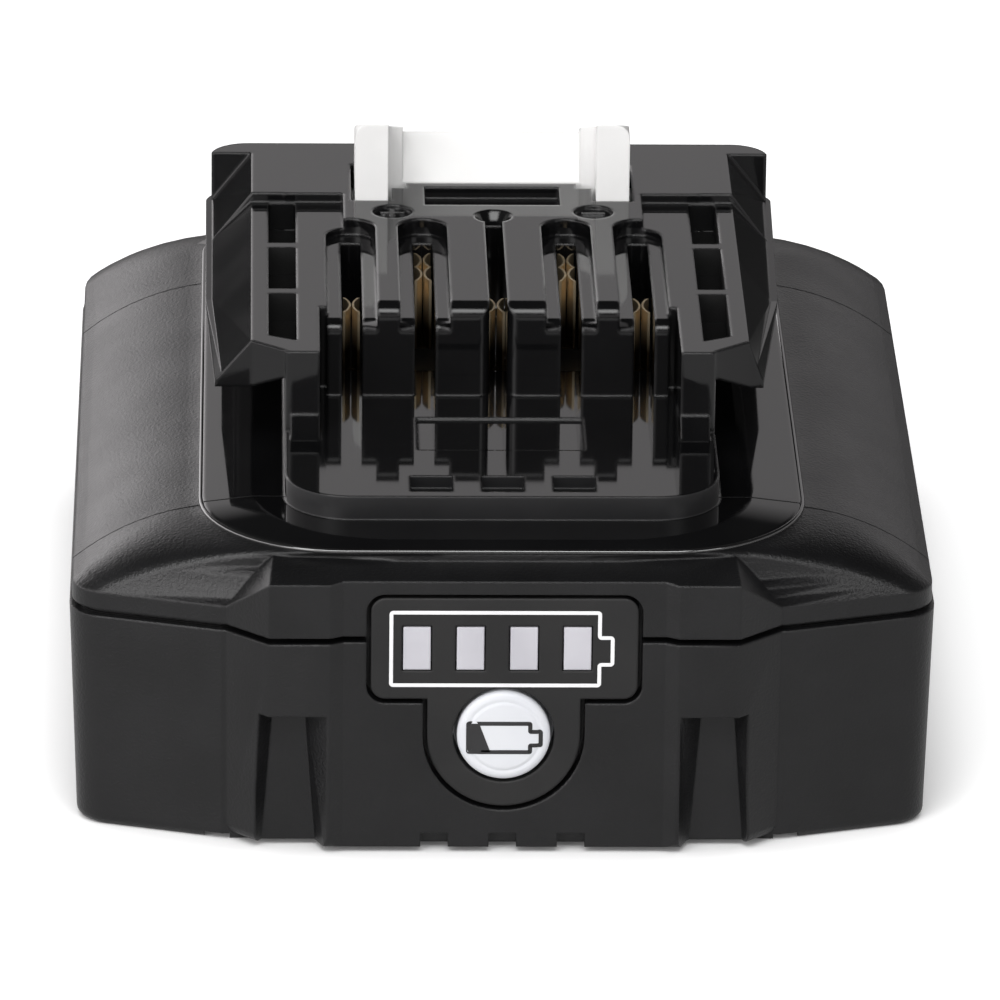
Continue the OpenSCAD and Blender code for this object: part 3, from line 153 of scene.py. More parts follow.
add("OutputWorld", {"Surface": mixed.outputs[0]})
print("sky: pale up to", round(float(np.degrees(np.arcsin(SKY_STOPS[2][0])))), "degrees")

# %% Floor
FLOOR_RADIUS, FLOOR_SIDES = 0.6, 96
PAPER_SCALE, PAPER_STOPS = 900.0, ((0.3, 0.70), (0.7, 0.72))
CORNER_REACH, GLOW_STOPS = 7 * MM, ((0.25, 0.05), (0.95, 0.68))
FELT_REACH, FELT_STOPS = (0.0, 0.3), ((0.2, 0.72), (0.35, 0.05))
turn = np.arange(FLOOR_SIDES) * 2 * np.pi / FLOOR_SIDES
rim = np.stack((np.cos(turn), np.sin(turn), np.zeros(FLOOR_SIDES)), axis=1) * FLOOR_RADIUS
floor_mesh = bpy.data.meshes.new("floor")
floor_mesh.from_pydata(rim.tolist(), [], [tuple(range(FLOOR_SIDES))])
floor = bpy.data.objects.new("floor", floor_mesh)
bpy.context.scene.collection.objects.link(floor)
paper = bpy.data.materials.new("floor_paper")
add = new_tree(paper)
place = add("TexCoord").outputs["Object"]
grain = add("TexNoise", {"Vector": place, "Scale": PAPER_SCALE})
seen = add("BsdfDiffuse", {"Color": ramp(add, grain.outputs["Fac"], PAPER_STOPS)})
behind = add("SeparateXYZ", {"Vector": place}).outputs["Y"]
depth = add("MapRange", {"Value": behind, "From Min": FELT_REACH[0], "From Max": FELT_REACH[1]})
felt = add("BsdfDiffuse", {"Color": ramp(add, depth.outputs["Result"], FELT_STOPS)})
corner = add("AmbientOcclusion", {"Distance": CORNER_REACH}, samples=8)
glow = add("Emission", {"Strength": ramp(add, corner.outputs["AO"], GLOW_STOPS)})
lit = add("AddShader", {0: seen.outputs[0], 1: glow.outputs[0]})
sees = add("LightPath").outputs["Is Camera Ray"]
mixed = add("MixShader", {0: sees, 1: felt.outputs[0], 2: lit.outputs[0]})
add("OutputMaterial", {"Surface": mixed.outputs[0]})
floor_mesh.materials.append(paper)
print("floor:", 2 * FLOOR_RADIUS, "m across")


# %% Soft boxes
def soft_box(name, azimuth, elevation, distance, width, depth, radiance):
    """An area lamp that faces the pack from an azimuth, 0 at the front, and an elevation, both in degrees, at
    a distance in metres. Its power is its radiance times pi times its area."""
    a, e = np.radians((azimuth, elevation))
    direction = Vector((np.sin(a) * np.cos(e), -np.cos(a) * np.cos(e), np.sin(e)))
    data = bpy.data.lights.new(name, "AREA")
    data.shape, data.size, data.size_y = "RECTANGLE", width, depth
    data.energy = radiance * np.pi * width * depth
    lamp = bpy.data.objects.new(name, data)
    lamp.matrix_world = (Matrix.Translation(CAMERA_TARGET + direction * distance)
                         @ direction.to_track_quat("Z", "Y").to_matrix().to_4x4())
    lamp.visible_camera = False
    bpy.context.scene.collection.objects.link(lamp)
    print(name, round(data.energy, 2), "W")


soft_box("key_box", azimuth=-10, elevation=50, distance=1.0, width=0.95, depth=0.42, radiance=6.2)
for name, azimuth in (("left_box", -38), ("right_box", 38)):
    soft_box(name, azimuth, elevation=24, distance=1.0, width=0.36, depth=0.34, radiance=3.0)

# %% [markdown]
# ## Finishes
# The case is glass-filled nylon, polished where the tool slides and with the fine grain of a spark-eroded
# mould elsewhere. Image textures could show that grain, but noise on Object coordinates follows the
# moulding in every view and at every scale. One function makes all plastics: base colour with a slight
# drift, roughness with a slight drift, a bump for the grain, and a normal that turns round the edges.
# A second function makes the metals, with noise drawn out as by rolling. The contacts' colour is
# painted darker low in their slots: painted shade, where little light reaches.

# %% Moulded plastics
COLOUR_DRIFT, ROUGH_DRIFT = (0.35, 0.65), (0.3, 0.7)


def plastic(name, dark, light, roughness, grain_mm, grain_depth_mm, edge_mm=0.2, ior=1.46, wave_mm=6.0):
    """Moulded plastic: colour drifts between dark and light over wave_mm, roughness between two values,
    two octaves of noise of size grain_mm raise the surface by about grain_depth_mm, and the normal
    turns round each edge as on a radius of edge_mm."""
    material = bpy.data.materials.new(name)
    add = new_tree(material)
    place = add("TexCoord").outputs["Object"]
    wave = add("TexNoise", {"Vector": place, "Scale": 1 / (wave_mm * MM), "Detail": 3.0})
    fine = add("TexNoise", {"Vector": place, "Scale": 1 / (grain_mm * MM), "Detail": 2.0, "Roughness": 0.6})
    turned = add("Bevel", {"Radius": edge_mm * MM}, samples=6)
    bump = add("Bump", {"Height": fine.outputs["Fac"], "Distance": grain_depth_mm * MM,
                        "Normal": turned.outputs["Normal"]})
    surface = add("BsdfPrincipled", {
        "Base Color": ramp(add, wave.outputs["Fac"], zip(COLOUR_DRIFT, (dark, light))),
        "Roughness": ramp(add, wave.outputs["Fac"], zip(ROUGH_DRIFT, roughness)),
        "IOR": ior, "Normal": bump.outputs["Normal"]})
    add("OutputMaterial", {"Surface": surface.outputs[0]})
    return material


GLOSS_BLACK = plastic("gloss_black", (0.0032, 0.0032, 0.0035), (0.0044, 0.0044, 0.0047), (0.04, 0.07),
                      9.0, 0.0012, edge_mm=0.38)
SATIN_BLACK = plastic("satin_black", (0.010, 0.010, 0.0106), (0.013, 0.013, 0.0137), (0.34, 0.4),
                      1.5, 0.003, edge_mm=0.22)
SPARK_BLACK = plastic("spark_black", (0.0045, 0.0045, 0.0048), (0.0065, 0.0065, 0.007), (0.3, 0.36),
                      0.24, 0.04, edge_mm=0.3)
PANEL_BLACK = plastic("panel_black", (0.009, 0.009, 0.0092), (0.012, 0.0118, 0.0118), (0.46, 0.54),
                      0.17, 0.012, edge_mm=0.3)
BEAD_BLACK = plastic("bead_black", (0.006, 0.006, 0.006), (0.009, 0.009, 0.009), (0.1, 0.14), 3.0, 0.001,
                     edge_mm=0.02, ior=2.0)
RAIL_BLACK = plastic("rail_black", (0.0032, 0.0032, 0.0035), (0.0044, 0.0044, 0.0047), (0.08, 0.12),
                     3.0, 0.001, edge_mm=0.12, ior=1.28)
# Painted shade: the insides of the rail pockets are darker than the gloss, and also rougher.
POCKET_SHADE_BLACK = plastic("pocket_shade_black", (0.0012, 0.0012, 0.0012), (0.002, 0.002, 0.002), (0.5, 0.6),
                       0.5, 0.005, edge_mm=0.02)
INNER_BLACK = plastic("inner_black", (0.005, 0.005, 0.005), (0.008, 0.008, 0.008), (0.35, 0.45), 0.5, 0.01)
LATCH_WHITE = plastic("latch_white", (0.81, 0.81, 0.80), (0.85, 0.85, 0.84), (0.45, 0.55), 0.6, 0.004,
                      edge_mm=0.2)
BUTTON_WHITE = plastic("button_white", (0.64, 0.655, 0.69), (0.68, 0.695, 0.72), (0.34, 0.42), 0.5, 0.004)
WINDOW_MILK = plastic("window_milk", (0.47, 0.465, 0.50), (0.53, 0.525, 0.56), (0.28, 0.36), 0.5, 0.003)
INK_WHITE = plastic("ink_white", (0.78, 0.78, 0.79), (0.84, 0.84, 0.85), (0.5, 0.6), 0.15, 0.004,
                    edge_mm=0.03)
INK_BLACK = plastic("ink_black", (0.018, 0.018, 0.019), (0.024, 0.024, 0.025), (0.45, 0.55), 0.15, 0.004,
                    edge_mm=0.03)
SLEEVE_GREEN = plastic("sleeve_green", (0.08, 0.24, 0.18), (0.10, 0.29, 0.23), (0.3, 0.4), 2.0, 0.01)
BOARD_GREEN = plastic("board_green", (0.015, 0.13, 0.05), (0.025, 0.18, 0.07), (0.25, 0.35), 0.6, 0.006)
PAPER_GREY = plastic("paper_grey", (0.30, 0.40, 0.35), (0.37, 0.46, 0.41), (0.8, 0.9), 0.3, 0.02)
FOAM_BLACK = plastic("foam_black", (0.02, 0.02, 0.02), (0.03, 0.03, 0.03), (0.9, 0.98), 0.4, 0.08)
FILM_AMBER = plastic("film_amber", (0.62, 0.44, 0.16), (0.72, 0.54, 0.22), (0.25, 0.35), 1.5, 0.005)
LAMP_CLEAR = plastic("lamp_clear", (0.66, 0.66, 0.52), (0.74, 0.74, 0.60), (0.12, 0.2), 0.8, 0.003)
print("plastics:", len([m for m in bpy.data.materials if m.node_tree and "Bevel" in m.node_tree.nodes]))

# %% Metals
RUB_DEPTH, RUB_DRIFT, PAINTED_SHADE_STOPS = 0.004 * MM, (0.3, 0.7), (0.1, 0.9)


def metal(name, dark, light, roughness, rub_mm, stretch, rise=None):
    """Rolled or drawn metal: roughness follows noise of size rub_mm drawn out by stretch along Z, and so does
    the colour, unless rise gives two heights in mm between which it goes from dark to light: painted shade,
    darker the lower the point."""
    material = bpy.data.materials.new(name)
    add = new_tree(material)
    place = add("TexCoord").outputs["Object"]
    drawn = add("Mapping", {"Vector": place, "Scale": (1, 1, 1 / stretch)})
    rub = add("TexNoise", {"Vector": drawn.outputs[0], "Scale": 1 / (rub_mm * MM), "Detail": 4.0})
    bump = add("Bump", {"Height": rub.outputs["Fac"], "Distance": RUB_DEPTH})
    if rise:
        # Painted shade: the colour is darker the lower the point, between the two heights.
        height = add("SeparateXYZ", {"Vector": place}).outputs["Z"]
        reach = add("MapRange", {"Value": height, "From Min": rise[0] * MM, "From Max": rise[1] * MM})
        shade = ramp(add, reach.outputs["Result"], zip(PAINTED_SHADE_STOPS, (dark, light)))
    else:
        shade = ramp(add, rub.outputs["Fac"], zip(RUB_DRIFT, (dark, light)))
    surface = add("BsdfPrincipled", {
        "Base Color": shade,
        "Roughness": ramp(add, rub.outputs["Fac"], zip(RUB_DRIFT, roughness)),
        "Metallic": 1.0, "Normal": bump.outputs["Normal"]})
    add("OutputMaterial", {"Surface": surface.outputs[0]})
    return material


# Painted shade: the brass is coloured dark low in the slots and light higher up, between 27 and 30.5 mm.
BRASS = metal("contact_brass", (0.05, 0.035, 0.02), (0.86, 0.71, 0.48), (0.42, 0.55), 0.4, 6.0,
              rise=(27.0, 30.5))
SPRING_WIRE = metal("spring_wire", (0.46, 0.46, 0.47), (0.60, 0.60, 0.61), (0.2, 0.32), 0.3, 1.0)
NICKEL = metal("nickel_strip", (0.58, 0.56, 0.52), (0.70, 0.68, 0.64), (0.25, 0.4), 0.5, 4.0)
SCREW_STEEL = metal("screw_steel", (0.10, 0.10, 0.105), (0.16, 0.16, 0.165), (0.3, 0.42), 0.3, 1.0)
print("metals:", [m.name for m in (BRASS, SPRING_WIRE, NICKEL, SCREW_STEEL)])

# %% [markdown]
# ## Dressed mouldings
# A CAD node arrives as loose triangles with knife edges. A real moulding has small radii at every edge,
# which catch the light as thin lines. A bevel modifier could cut them, but it breaks at the small pockets,
# so each visible moulding is copied, its doubles are merged, flat triangles are dissolved into faces,
# normals follow the large faces, and the finish itself turns the light round the edges.

# %% Copy of a CAD node with its faces joined
MERGE = 0.002 * MM
FLAT_ANGLE = np.radians(0.05)


def joined_copy(node):
    """A copy of a CAD node's mesh with its doubles merged and its flat triangles dissolved into faces."""
    mesh = NODES[node].data.copy()
    mesh.name = node + "_dressed"
    shape = bmesh.new()
    shape.from_mesh(mesh)
    bmesh.ops.remove_doubles(shape, verts=shape.verts, dist=MERGE)
    bmesh.ops.dissolve_limit(shape, angle_limit=FLAT_ANGLE, verts=shape.verts, edges=shape.edges)
    shape.to_mesh(mesh)
    shape.free()
    return mesh


# %% Finish of every face and sharpness of every edge
GLOSS, GRAIN, SATIN, POCKET, RAIL = range(5)


def finish_index(mesh, pick):
    """The index of a finish for every face: pick works it out from the faces' centres, in mm, and normals."""
    count = len(mesh.polygons)
    if pick is None:
        return np.zeros(count, dtype=np.int32)
    centre, normal = np.empty(count * 3), np.empty(count * 3)
    mesh.polygons.foreach_get("center", centre)
    mesh.polygons.foreach_get("normal", normal)
    return pick(centre.reshape(-1, 3) / MM, normal.reshape(-1, 3)).astype(np.int32)


def edge_flags(mesh, index, soft):
    """Sharp flags of a mesh's edges and the points that keep to flat faces: the edges of RAIL faces become
    sharp, and the edges that soft masks, given their two ends in mm, become smooth."""
    place, ends = np.empty(len(mesh.vertices) * 3), np.empty(len(mesh.edges) * 2, dtype=np.int32)
    sharp, edge_of = np.empty(len(mesh.edges), dtype=bool), np.empty(len(mesh.loops), dtype=np.int32)
    size = np.empty(len(mesh.polygons), dtype=np.int32)
    mesh.vertices.foreach_get("co", place)
    mesh.edges.foreach_get("vertices", ends)
    mesh.attributes["sharp_edge"].data.foreach_get("value", sharp)
    mesh.loops.foreach_get("edge_index", edge_of)
    mesh.polygons.foreach_get("loop_total", size)
    sharp[edge_of[np.repeat(index, size) == RAIL]] = True
    ends = ends.reshape(-1, 2)
    mask = soft(place.reshape(-1, 3)[ends] / MM) if soft else np.zeros(len(ends), dtype=bool)
    return sharp & ~mask, np.setdiff1d(np.arange(len(mesh.vertices)), ends[mask])


# %% Dressed piece
SHARP_ANGLE, CUT_ANGLE, CUT_STEPS, FLAT_WEIGHT = np.radians(9), np.radians(50), 3, 60


def dressed(node, finishes, pick=None, soft=None, cut_mm=None):
    """A merged copy of a CAD node with smooth arcs. pick turns the faces' centres, in mm, and normals into an
    index of finishes for every face. soft turns the two ends of every edge, in mm, into a mask of edges to
    shade smooth. cut_mm adds a bevel at clear edges, which is narrower where short edges leave no room."""
    mesh = joined_copy(node)
    mesh.materials.clear()
    for finish in finishes:
        mesh.materials.append(finish)
    index = finish_index(mesh, pick)
    mesh.polygons.foreach_set("material_index", index)
    mesh.shade_smooth()
    mesh.set_sharp_from_angle(angle=SHARP_ANGLE)
    sharp, flat = edge_flags(mesh, index, soft)
    mesh.attributes["sharp_edge"].data.foreach_set("value", sharp)
    piece = bpy.data.objects.new(node + "_dressed", mesh)
    bpy.context.scene.collection.objects.link(piece)
    if cut_mm:
        cut = piece.modifiers.new("cut_edges", "BEVEL")
        cut.width, cut.segments = cut_mm * MM, CUT_STEPS
        cut.limit_method, cut.angle_limit = "ANGLE", CUT_ANGLE
    weighted = piece.modifiers.new("flat_faces", "WEIGHTED_NORMAL")
    weighted.keep_sharp, weighted.weight = True, FLAT_WEIGHT
    piece.vertex_groups.new(name="flat").add(flat.tolist(), 1.0, "REPLACE")
    weighted.vertex_group = "flat"
    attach(piece, BODY_OF[node])
    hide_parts(node)
    print(node, len(mesh.vertices), "points,", len(index), "faces")


# %% [markdown]
# ## Case
# The deck, the plate and the head are polished, the front of the plate is satin and the rest of the upper
# moulding has the spark grain. The faces could be picked by hand, but the line between the finishes is the
# edge of the deck, so a face's place and direction decide its finish. From here on, places are in mm.

# %% Upper and lower case
DECK_HALF, DECK_FRONT, DECK_BACK, DECK_EDGE_Z = 23.2, -38.0, 34.0, 23.45
DECK_CORNER, DECK_REAR_CORNER = 11.2, 5.0
PLATE_Z, PLATE_SIDE_Y = 26.1, -21.0
POCKET_X, POCKET_Y, POCKET_Z = (15.68, 17.88), (-17.0, 15.0), (29.0, 32.75)
SHOULDER_X, SHOULDER_Y, SHOULDER_BAND = (18.6, 31.0), (-37.2, -30.0), (19.3, 23.3)
RAIL_X, RAIL_Z = 19.22, (28.0, 33.58)
LINE_PLAY, EDGE_PLAY = 0.05, 0.12
UPRIGHT_NZ, FRONT_NY, SLOPE_NZ = 0.316, -0.2, 0.3


def within(value, limits):
    """True where a value lies between two limits."""
    return (value > limits[0]) & (value < limits[1])


def polished(centre, normal):
    """GLOSS for a face above the deck's edge and inside its rounded outline, apart from SATIN for the upright
    front of the plate, POCKET for the inside of the rail pockets, painted darker as shade, and RAIL for the
    outer slopes of the rails, otherwise GRAIN."""
    x, y, z = np.abs(centre[:, 0]), centre[:, 1], centre[:, 2]
    corner = np.hypot(np.maximum(x - (DECK_HALF - DECK_CORNER), 0),
                      np.maximum(DECK_FRONT + DECK_CORNER - y, 0))
    inside = ((corner < DECK_CORNER + LINE_PLAY) & (x < DECK_HALF + LINE_PLAY)
              & (y < DECK_BACK + LINE_PLAY) & (z > DECK_EDGE_Z - EDGE_PLAY))
    upright = ((np.abs(normal[:, 2]) < UPRIGHT_NZ) & (normal[:, 1] < FRONT_NY)
               & (z < PLATE_Z) & (y < PLATE_SIDE_Y))
    hole = within(x, POCKET_X) & within(y, POCKET_Y) & within(z, POCKET_Z)
    slope = (x > RAIL_X) & within(z, RAIL_Z) & (normal[:, 2] > SLOPE_NZ)
    return np.select((~inside, upright, hole, slope), (GRAIN, SATIN, POCKET, RAIL), GLOSS)


def on_shoulder(ends):
    """True for the edges between the dome and the front slope, on both sides of the brow."""
    inside = (within(np.abs(ends[..., 0]), SHOULDER_X) & within(ends[..., 1], SHOULDER_Y)
              & within(ends[..., 2], SHOULDER_BAND))
    return inside.all(axis=1)


dressed("upper_case", (GLOSS_BLACK, SPARK_BLACK, SATIN_BLACK, POCKET_SHADE_BLACK, RAIL_BLACK),
        pick=polished, soft=on_shoulder)
dressed("lower_case", (SPARK_BLACK,))

# %% [markdown]
# ## Panel, gauge, latch and contacts
# The panel is a grained insert, the gauge windows are the ends of a milky light guide, the latch is white
# nylon, and the contacts are pressed from brass strip. Each could get a mesh of its own, but the CAD shapes
# are right, so each is a dressed copy in one finish. The latch also gets a bevel, as wide as its short arcs
# leave room for.

# %% Panel, gauge and latch
LATCH_CUT = 0.4
dressed("gauge_panel", (PANEL_BLACK,))
dressed("light_guide", (WINDOW_MILK,))
dressed("latch_hook", (LATCH_WHITE,), cut_mm=LATCH_CUT)

# %% Contacts
for node in sorted(NODES):
    if SLOT_OF[node] == "terminal_brass":
        dressed(node, (BRASS,))
dressed("terminal_carrier", (INNER_BLACK,))

# %% [markdown]
# ## Surfaces from grids
# The pieces that are not in the CAD model are surfaces: a grid of points over two parameters, such as
# the way along a wire and the way round it. Blender could draw them as curves with a bevel, but a grid
# of our own closes its seams and ends exactly and shows the formula.

# %% Grid to mesh and mesh to piece
SMOOTH_ANGLE, GRID_MERGE = np.radians(40), 0.1 * MERGE


def grid_mesh(name, points, closed_u=False, closed_v=False, capped=False):
    """A mesh on a grid of points in mm, indexed u, v: each cell is a quad, a closed direction joins its
    last row to its first, and capped closes the first and the last row of u with a face each."""
    rows, columns = points.shape[:2]
    index = np.arange(rows * columns).reshape(rows, columns)
    caps = [index[0].tolist(), index[-1][::-1].tolist()] if capped else []
    index = np.vstack((index, index[:1])) if closed_u else index
    index = np.hstack((index, index[:, :1])) if closed_v else index
    quads = np.stack((index[:-1, :-1], index[1:, :-1], index[1:, 1:], index[:-1, 1:]), axis=-1)
    mesh = bpy.data.meshes.new(name)
    mesh.from_pydata((points.reshape(-1, 3) * MM).tolist(), [], quads.reshape(-1, 4).tolist() + caps)
    shape = bmesh.new()
    shape.from_mesh(mesh)
    bmesh.ops.remove_doubles(shape, verts=shape.verts, dist=GRID_MERGE)
    bmesh.ops.recalc_face_normals(shape, faces=shape.faces)
    shape.to_mesh(mesh)
    shape.free()
    mesh.shade_smooth()
    mesh.set_sharp_from_angle(angle=SMOOTH_ANGLE)
    return mesh


def add_piece(mesh, finish, node, stands_for=False):
    """A piece from a mesh in a finish: it rides with a CAD node's body, and may stand for the node, which is
    then hidden.
    """
    mesh.materials.append(finish)
    piece = bpy.data.objects.new(mesh.name, mesh)
    bpy.context.scene.collection.objects.link(piece)
    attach(piece, BODY_OF[node])
    if stands_for:
        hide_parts(node)
    print(mesh.name, len(mesh.vertices), "points on", BODY_OF[node])
    return piece


def sweep(path, side, lift, profile):
    """Points of a profile carried along a path: path + side times the profile's first coordinate + lift
    times its second, for every point of the path and of the profile."""
    return (path[:, None, :] + side[:, None, :] * profile[None, :, :1]
            + lift[:, None, :] * profile[None, :, 1:])


def circle(radius, count):
    """Points of a circle about (0, 0), anticlockwise."""
    angle = np.arange(count) * 2 * np.pi / count
    return np.stack((np.cos(angle), np.sin(angle)), axis=1) * radius


def merged(name, meshes):
    """One mesh from several, in order."""
    shape = bmesh.new()
    for mesh in meshes:
        shape.from_mesh(mesh)
    whole = bpy.data.meshes.new(name)
    shape.to_mesh(whole)
    shape.free()
    for mesh in meshes:
        bpy.data.meshes.remove(mesh)
    whole.shade_smooth()
    whole.set_sharp_from_angle(angle=SMOOTH_ANGLE)
    return whole


# %% [markdown]
# ## Bead of the deck
# Where the polished insert of the mould ends, a fine raised bead runs round the deck and catches the light
# as a thin bright line. It could be part of the CAD solid, but it is a fifth of a millimetre high. It is
# a round section carried along the outline of the deck: quarter arcs at the corners, straight in between.

# %% Bead
BEAD_RADIUS, BEAD_INSET, BEAD_Z = 0.22, 0.16, 23.53
ARC_STEPS, BEAD_SIDES = 16, 12


def deck_outline(inset, z):
    """The outline of the deck moved in by inset, and its outward directions: two quarter arcs on the right,
    at the front and the rear, and their mirror image on the left."""
    quarter = np.linspace(0, np.pi / 2, ARC_STEPS)
    angle = np.concatenate((quarter - np.pi / 2, quarter))
    radius = np.repeat((DECK_CORNER, DECK_REAR_CORNER), ARC_STEPS)
    centre_y = np.repeat((DECK_FRONT + DECK_CORNER, DECK_BACK - DECK_REAR_CORNER), ARC_STEPS)
    out = np.stack((np.cos(angle), np.sin(angle), np.zeros_like(angle)), axis=1)
    centre = np.stack((DECK_HALF - radius, centre_y, np.full_like(angle, z)), axis=1)
    path = centre + out * (radius - inset)[:, None]
    flip = np.array((-1.0, 1.0, 1.0))
    return np.concatenate((path, path[::-1] * flip)), np.concatenate((out, out[::-1] * flip))


path, out = deck_outline(BEAD_INSET, BEAD_Z)
upright = np.tile((0.0, 0.0, 1.0), (len(path), 1))
section = circle(BEAD_RADIUS, BEAD_SIDES)
bead = grid_mesh("deck_bead", sweep(path, out, upright, section), closed_u=True, closed_v=True)
add_piece(bead, BEAD_BLACK, "upper_case")

# %% [markdown]
# ## Floors of the rail pockets
# The pockets thin the rails so that they cool evenly in the mould, and each ends in a plain floor. The CAD
# pockets just reach the rail's undercut, which would let light in. Shallower pockets would cure that too,
# but a thin floor keeps their depth. A strip per side, a flat section carried along the rail, makes the
# floors of its three pockets at once, and the ribs between the pockets hide the rest of it.

# %% Pocket floors
FLOOR_X, FLOOR_Y, FLOOR_Z, FLOOR_HALF_W = 16.78, (-15.5, 15.1), (30.41, 30.47), 1.04


def pocket_floor(way):
    """A flat section carried along Y below the pockets, on the side given by the sign of way."""
    section = np.stack((np.array((-1, 1, 1, -1)) * FLOOR_HALF_W, np.repeat(FLOOR_Z, 2)), axis=1)
    path = np.array(((way * FLOOR_X, FLOOR_Y[0], 0.0), (way * FLOOR_X, FLOOR_Y[1], 0.0)))
    side, lift = np.tile((1.0, 0.0, 0.0), (2, 1)), np.tile((0.0, 0.0, 1.0), (2, 1))
    return grid_mesh("pocket_floor", sweep(path, side, lift, section), closed_v=True, capped=True)


# The pocket floors take the same painted shade, darker than the gloss.
add_piece(merged("pocket_floors", [pocket_floor(way) for way in (-1, 1)]), POCKET_SHADE_BLACK, "upper_case")

# %% [markdown]
# ## Witness lines
# The mould closes on sliding blocks, and each joint of two blocks leaves a hair line across the deck and
# the shoulders. A bump could draw it, but a low ridge shows in every view. Its path is the section of
# the case: level, then the slope of the deck, then the shoulder's arc.

# %% Witness lines on both sides, front and rear
SHOULDER_SLOPE, SHOULDER_HALF, SHOULDER_Z = np.radians(8.0), 32.8, 19.1
HEAD_HALF, DECK_FLAT_HALF, DECK_Z, DECK_LIP = 16.6, 19.2, 24.2, (22.85, 23.75)
WITNESS_Y, WITNESS_HALF_W, WITNESS_H = (-27.9, 22.0), 0.05, 0.022
WITNESS_SHAPE = np.array(((-1, -1), (-0.6, 0.7), (0, 1), (0.6, 0.7), (1, -1)))
SECTION_STEPS = 24


def case_section():
    """Half section of the case from the head outwards: two straight runs of the deck, then an arc from the
    deck's edge to the shoulder's edge that starts at the shoulder's slope."""
    run, fall = SHOULDER_HALF - DECK_HALF, DECK_EDGE_Z - SHOULDER_Z
    turn = 2 * (np.arctan2(fall, run) - SHOULDER_SLOPE)
    radius = np.hypot(run, fall) / (2 * np.sin(turn / 2))
    angle = SHOULDER_SLOPE + turn * np.linspace(0, 1, SECTION_STEPS)
    arc_x = DECK_HALF + radius * (np.sin(angle) - np.sin(SHOULDER_SLOPE))
    arc_z = DECK_EDGE_Z - radius * (np.cos(SHOULDER_SLOPE) - np.cos(angle))
    return (np.concatenate(((HEAD_HALF, DECK_FLAT_HALF, DECK_LIP[0]), arc_x)),
            np.concatenate(((DECK_Z, DECK_Z, DECK_LIP[1]), arc_z)))


def witness(y, way):
    """A low ridge over the half section at y, on the side given by the sign of way."""
    x, z = case_section()
    path = np.stack((way * x, np.full_like(x, y), z), axis=1)
    along = np.gradient(path, axis=0)
    along /= np.linalg.norm(along, axis=1, keepdims=True)
    side = np.tile((0.0, 1.0, 0.0), (len(path), 1))
    lift = way * np.cross(along, side)
    ridge = WITNESS_SHAPE * (WITNESS_HALF_W, WITNESS_H)
    return grid_mesh("witness", sweep(path, side, lift, ridge), closed_v=True, capped=True)


lines = [witness(y, way) for y in WITNESS_Y for way in (-1, 1)]
add_piece(merged("witness_lines", lines), SPARK_BLACK, "upper_case")

# %% [markdown]
# ## Check button
# The button is a turned form: a flat face, a fine groove round it, a shoulder that falls away to the
# edge, and a flange that holds it in the panel. A cylinder with bevels would come near, but a profile of
# radius and depth, carried round the axis, gives it at once, and the same profile tells the ink where the
# face is.

# %% Button
BUTTON_Z, FLANGE_T, TURN_STEPS = 9.65, 0.5, 96
button_low, button_high = [np.array(corner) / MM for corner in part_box("check_button")]
FACE_Y, FLANGE_Y = button_low[1], button_high[1] - FLANGE_T
BUTTON_R, FLANGE_R = 3.55, (button_high[0] - button_low[0]) / 2
FACE_R = np.array((0.0, 1.3, 2.5, 2.66, 2.72, 2.80, 2.88, 2.96, 3.15, 3.32, 3.45, 3.52, 3.55))
FACE_FALL = np.array((0.0, 0.0, 0.0, 0.015, 0.07, 0.09, 0.07, 0.04, 0.07, 0.13, 0.21, 0.30, 0.40))


def turned(name, radius, along, centre):
    """A profile of radius and place along Y, carried round an axis through centre: x and z are the centre's
    plus the radius times the cosine and the sine of the angle."""
    angle = np.arange(TURN_STEPS) * 2 * np.pi / TURN_STEPS
    x = centre[0] + radius[:, None] * np.cos(angle)
    z = centre[1] + radius[:, None] * np.sin(angle)
    return grid_mesh(name, np.stack((x, np.broadcast_to(along[:, None], x.shape), z), axis=-1), closed_v=True)


radius = np.concatenate((FACE_R, (BUTTON_R, FLANGE_R, FLANGE_R, 0.0)))
along = np.concatenate((FACE_Y + FACE_FALL, (FLANGE_Y, FLANGE_Y, button_high[1], button_high[1])))
button = turned("check_button_turned", radius, along, (0.0, BUTTON_Z))
add_piece(button, BUTTON_WHITE, "check_button", stands_for=True)

# %% [markdown]
# ## Ink
# The gauge has a battery outline round its windows and the button has a small one, part filled. A screen
# printer lays such lines about two hundredths of a millimetre thick. An image could hold them, but a
# ribbon along the outline stays sharp at any distance. Each corner is a small arc, and at every point
# the ribbon spreads to both sides along the outline's own normal.

# %% Ribbon along an outline
INK_T, INK_SINK, CORNER_STEPS = 0.025, 0.03, 5


def battery(left, right, nub, low, high, nub_low, nub_high):
    """The corners of a battery's outline, anticlockwise: a box with a nub on its right."""
    return ((left, low), (right, low), (right, nub_low), (nub, nub_low),
            (nub, nub_high), (right, nub_high), (right, high), (left, high))


def rounded(corners, radius):
    """Points along a closed outline of right-angled corners, each replaced by a quarter arc."""
    corners = np.asarray(corners, dtype=float)
    before, after = np.roll(corners, 1, axis=0) - corners, np.roll(corners, -1, axis=0) - corners
    before /= np.linalg.norm(before, axis=1, keepdims=True)
    after /= np.linalg.norm(after, axis=1, keepdims=True)
    t = np.linspace(0, np.pi / 2, CORNER_STEPS)[None, :, None]
    centre = (corners + radius * (before + after))[:, None, :]
    return (centre - radius * (after[:, None] * np.cos(t) + before[:, None] * np.sin(t))).reshape(-1, 2)


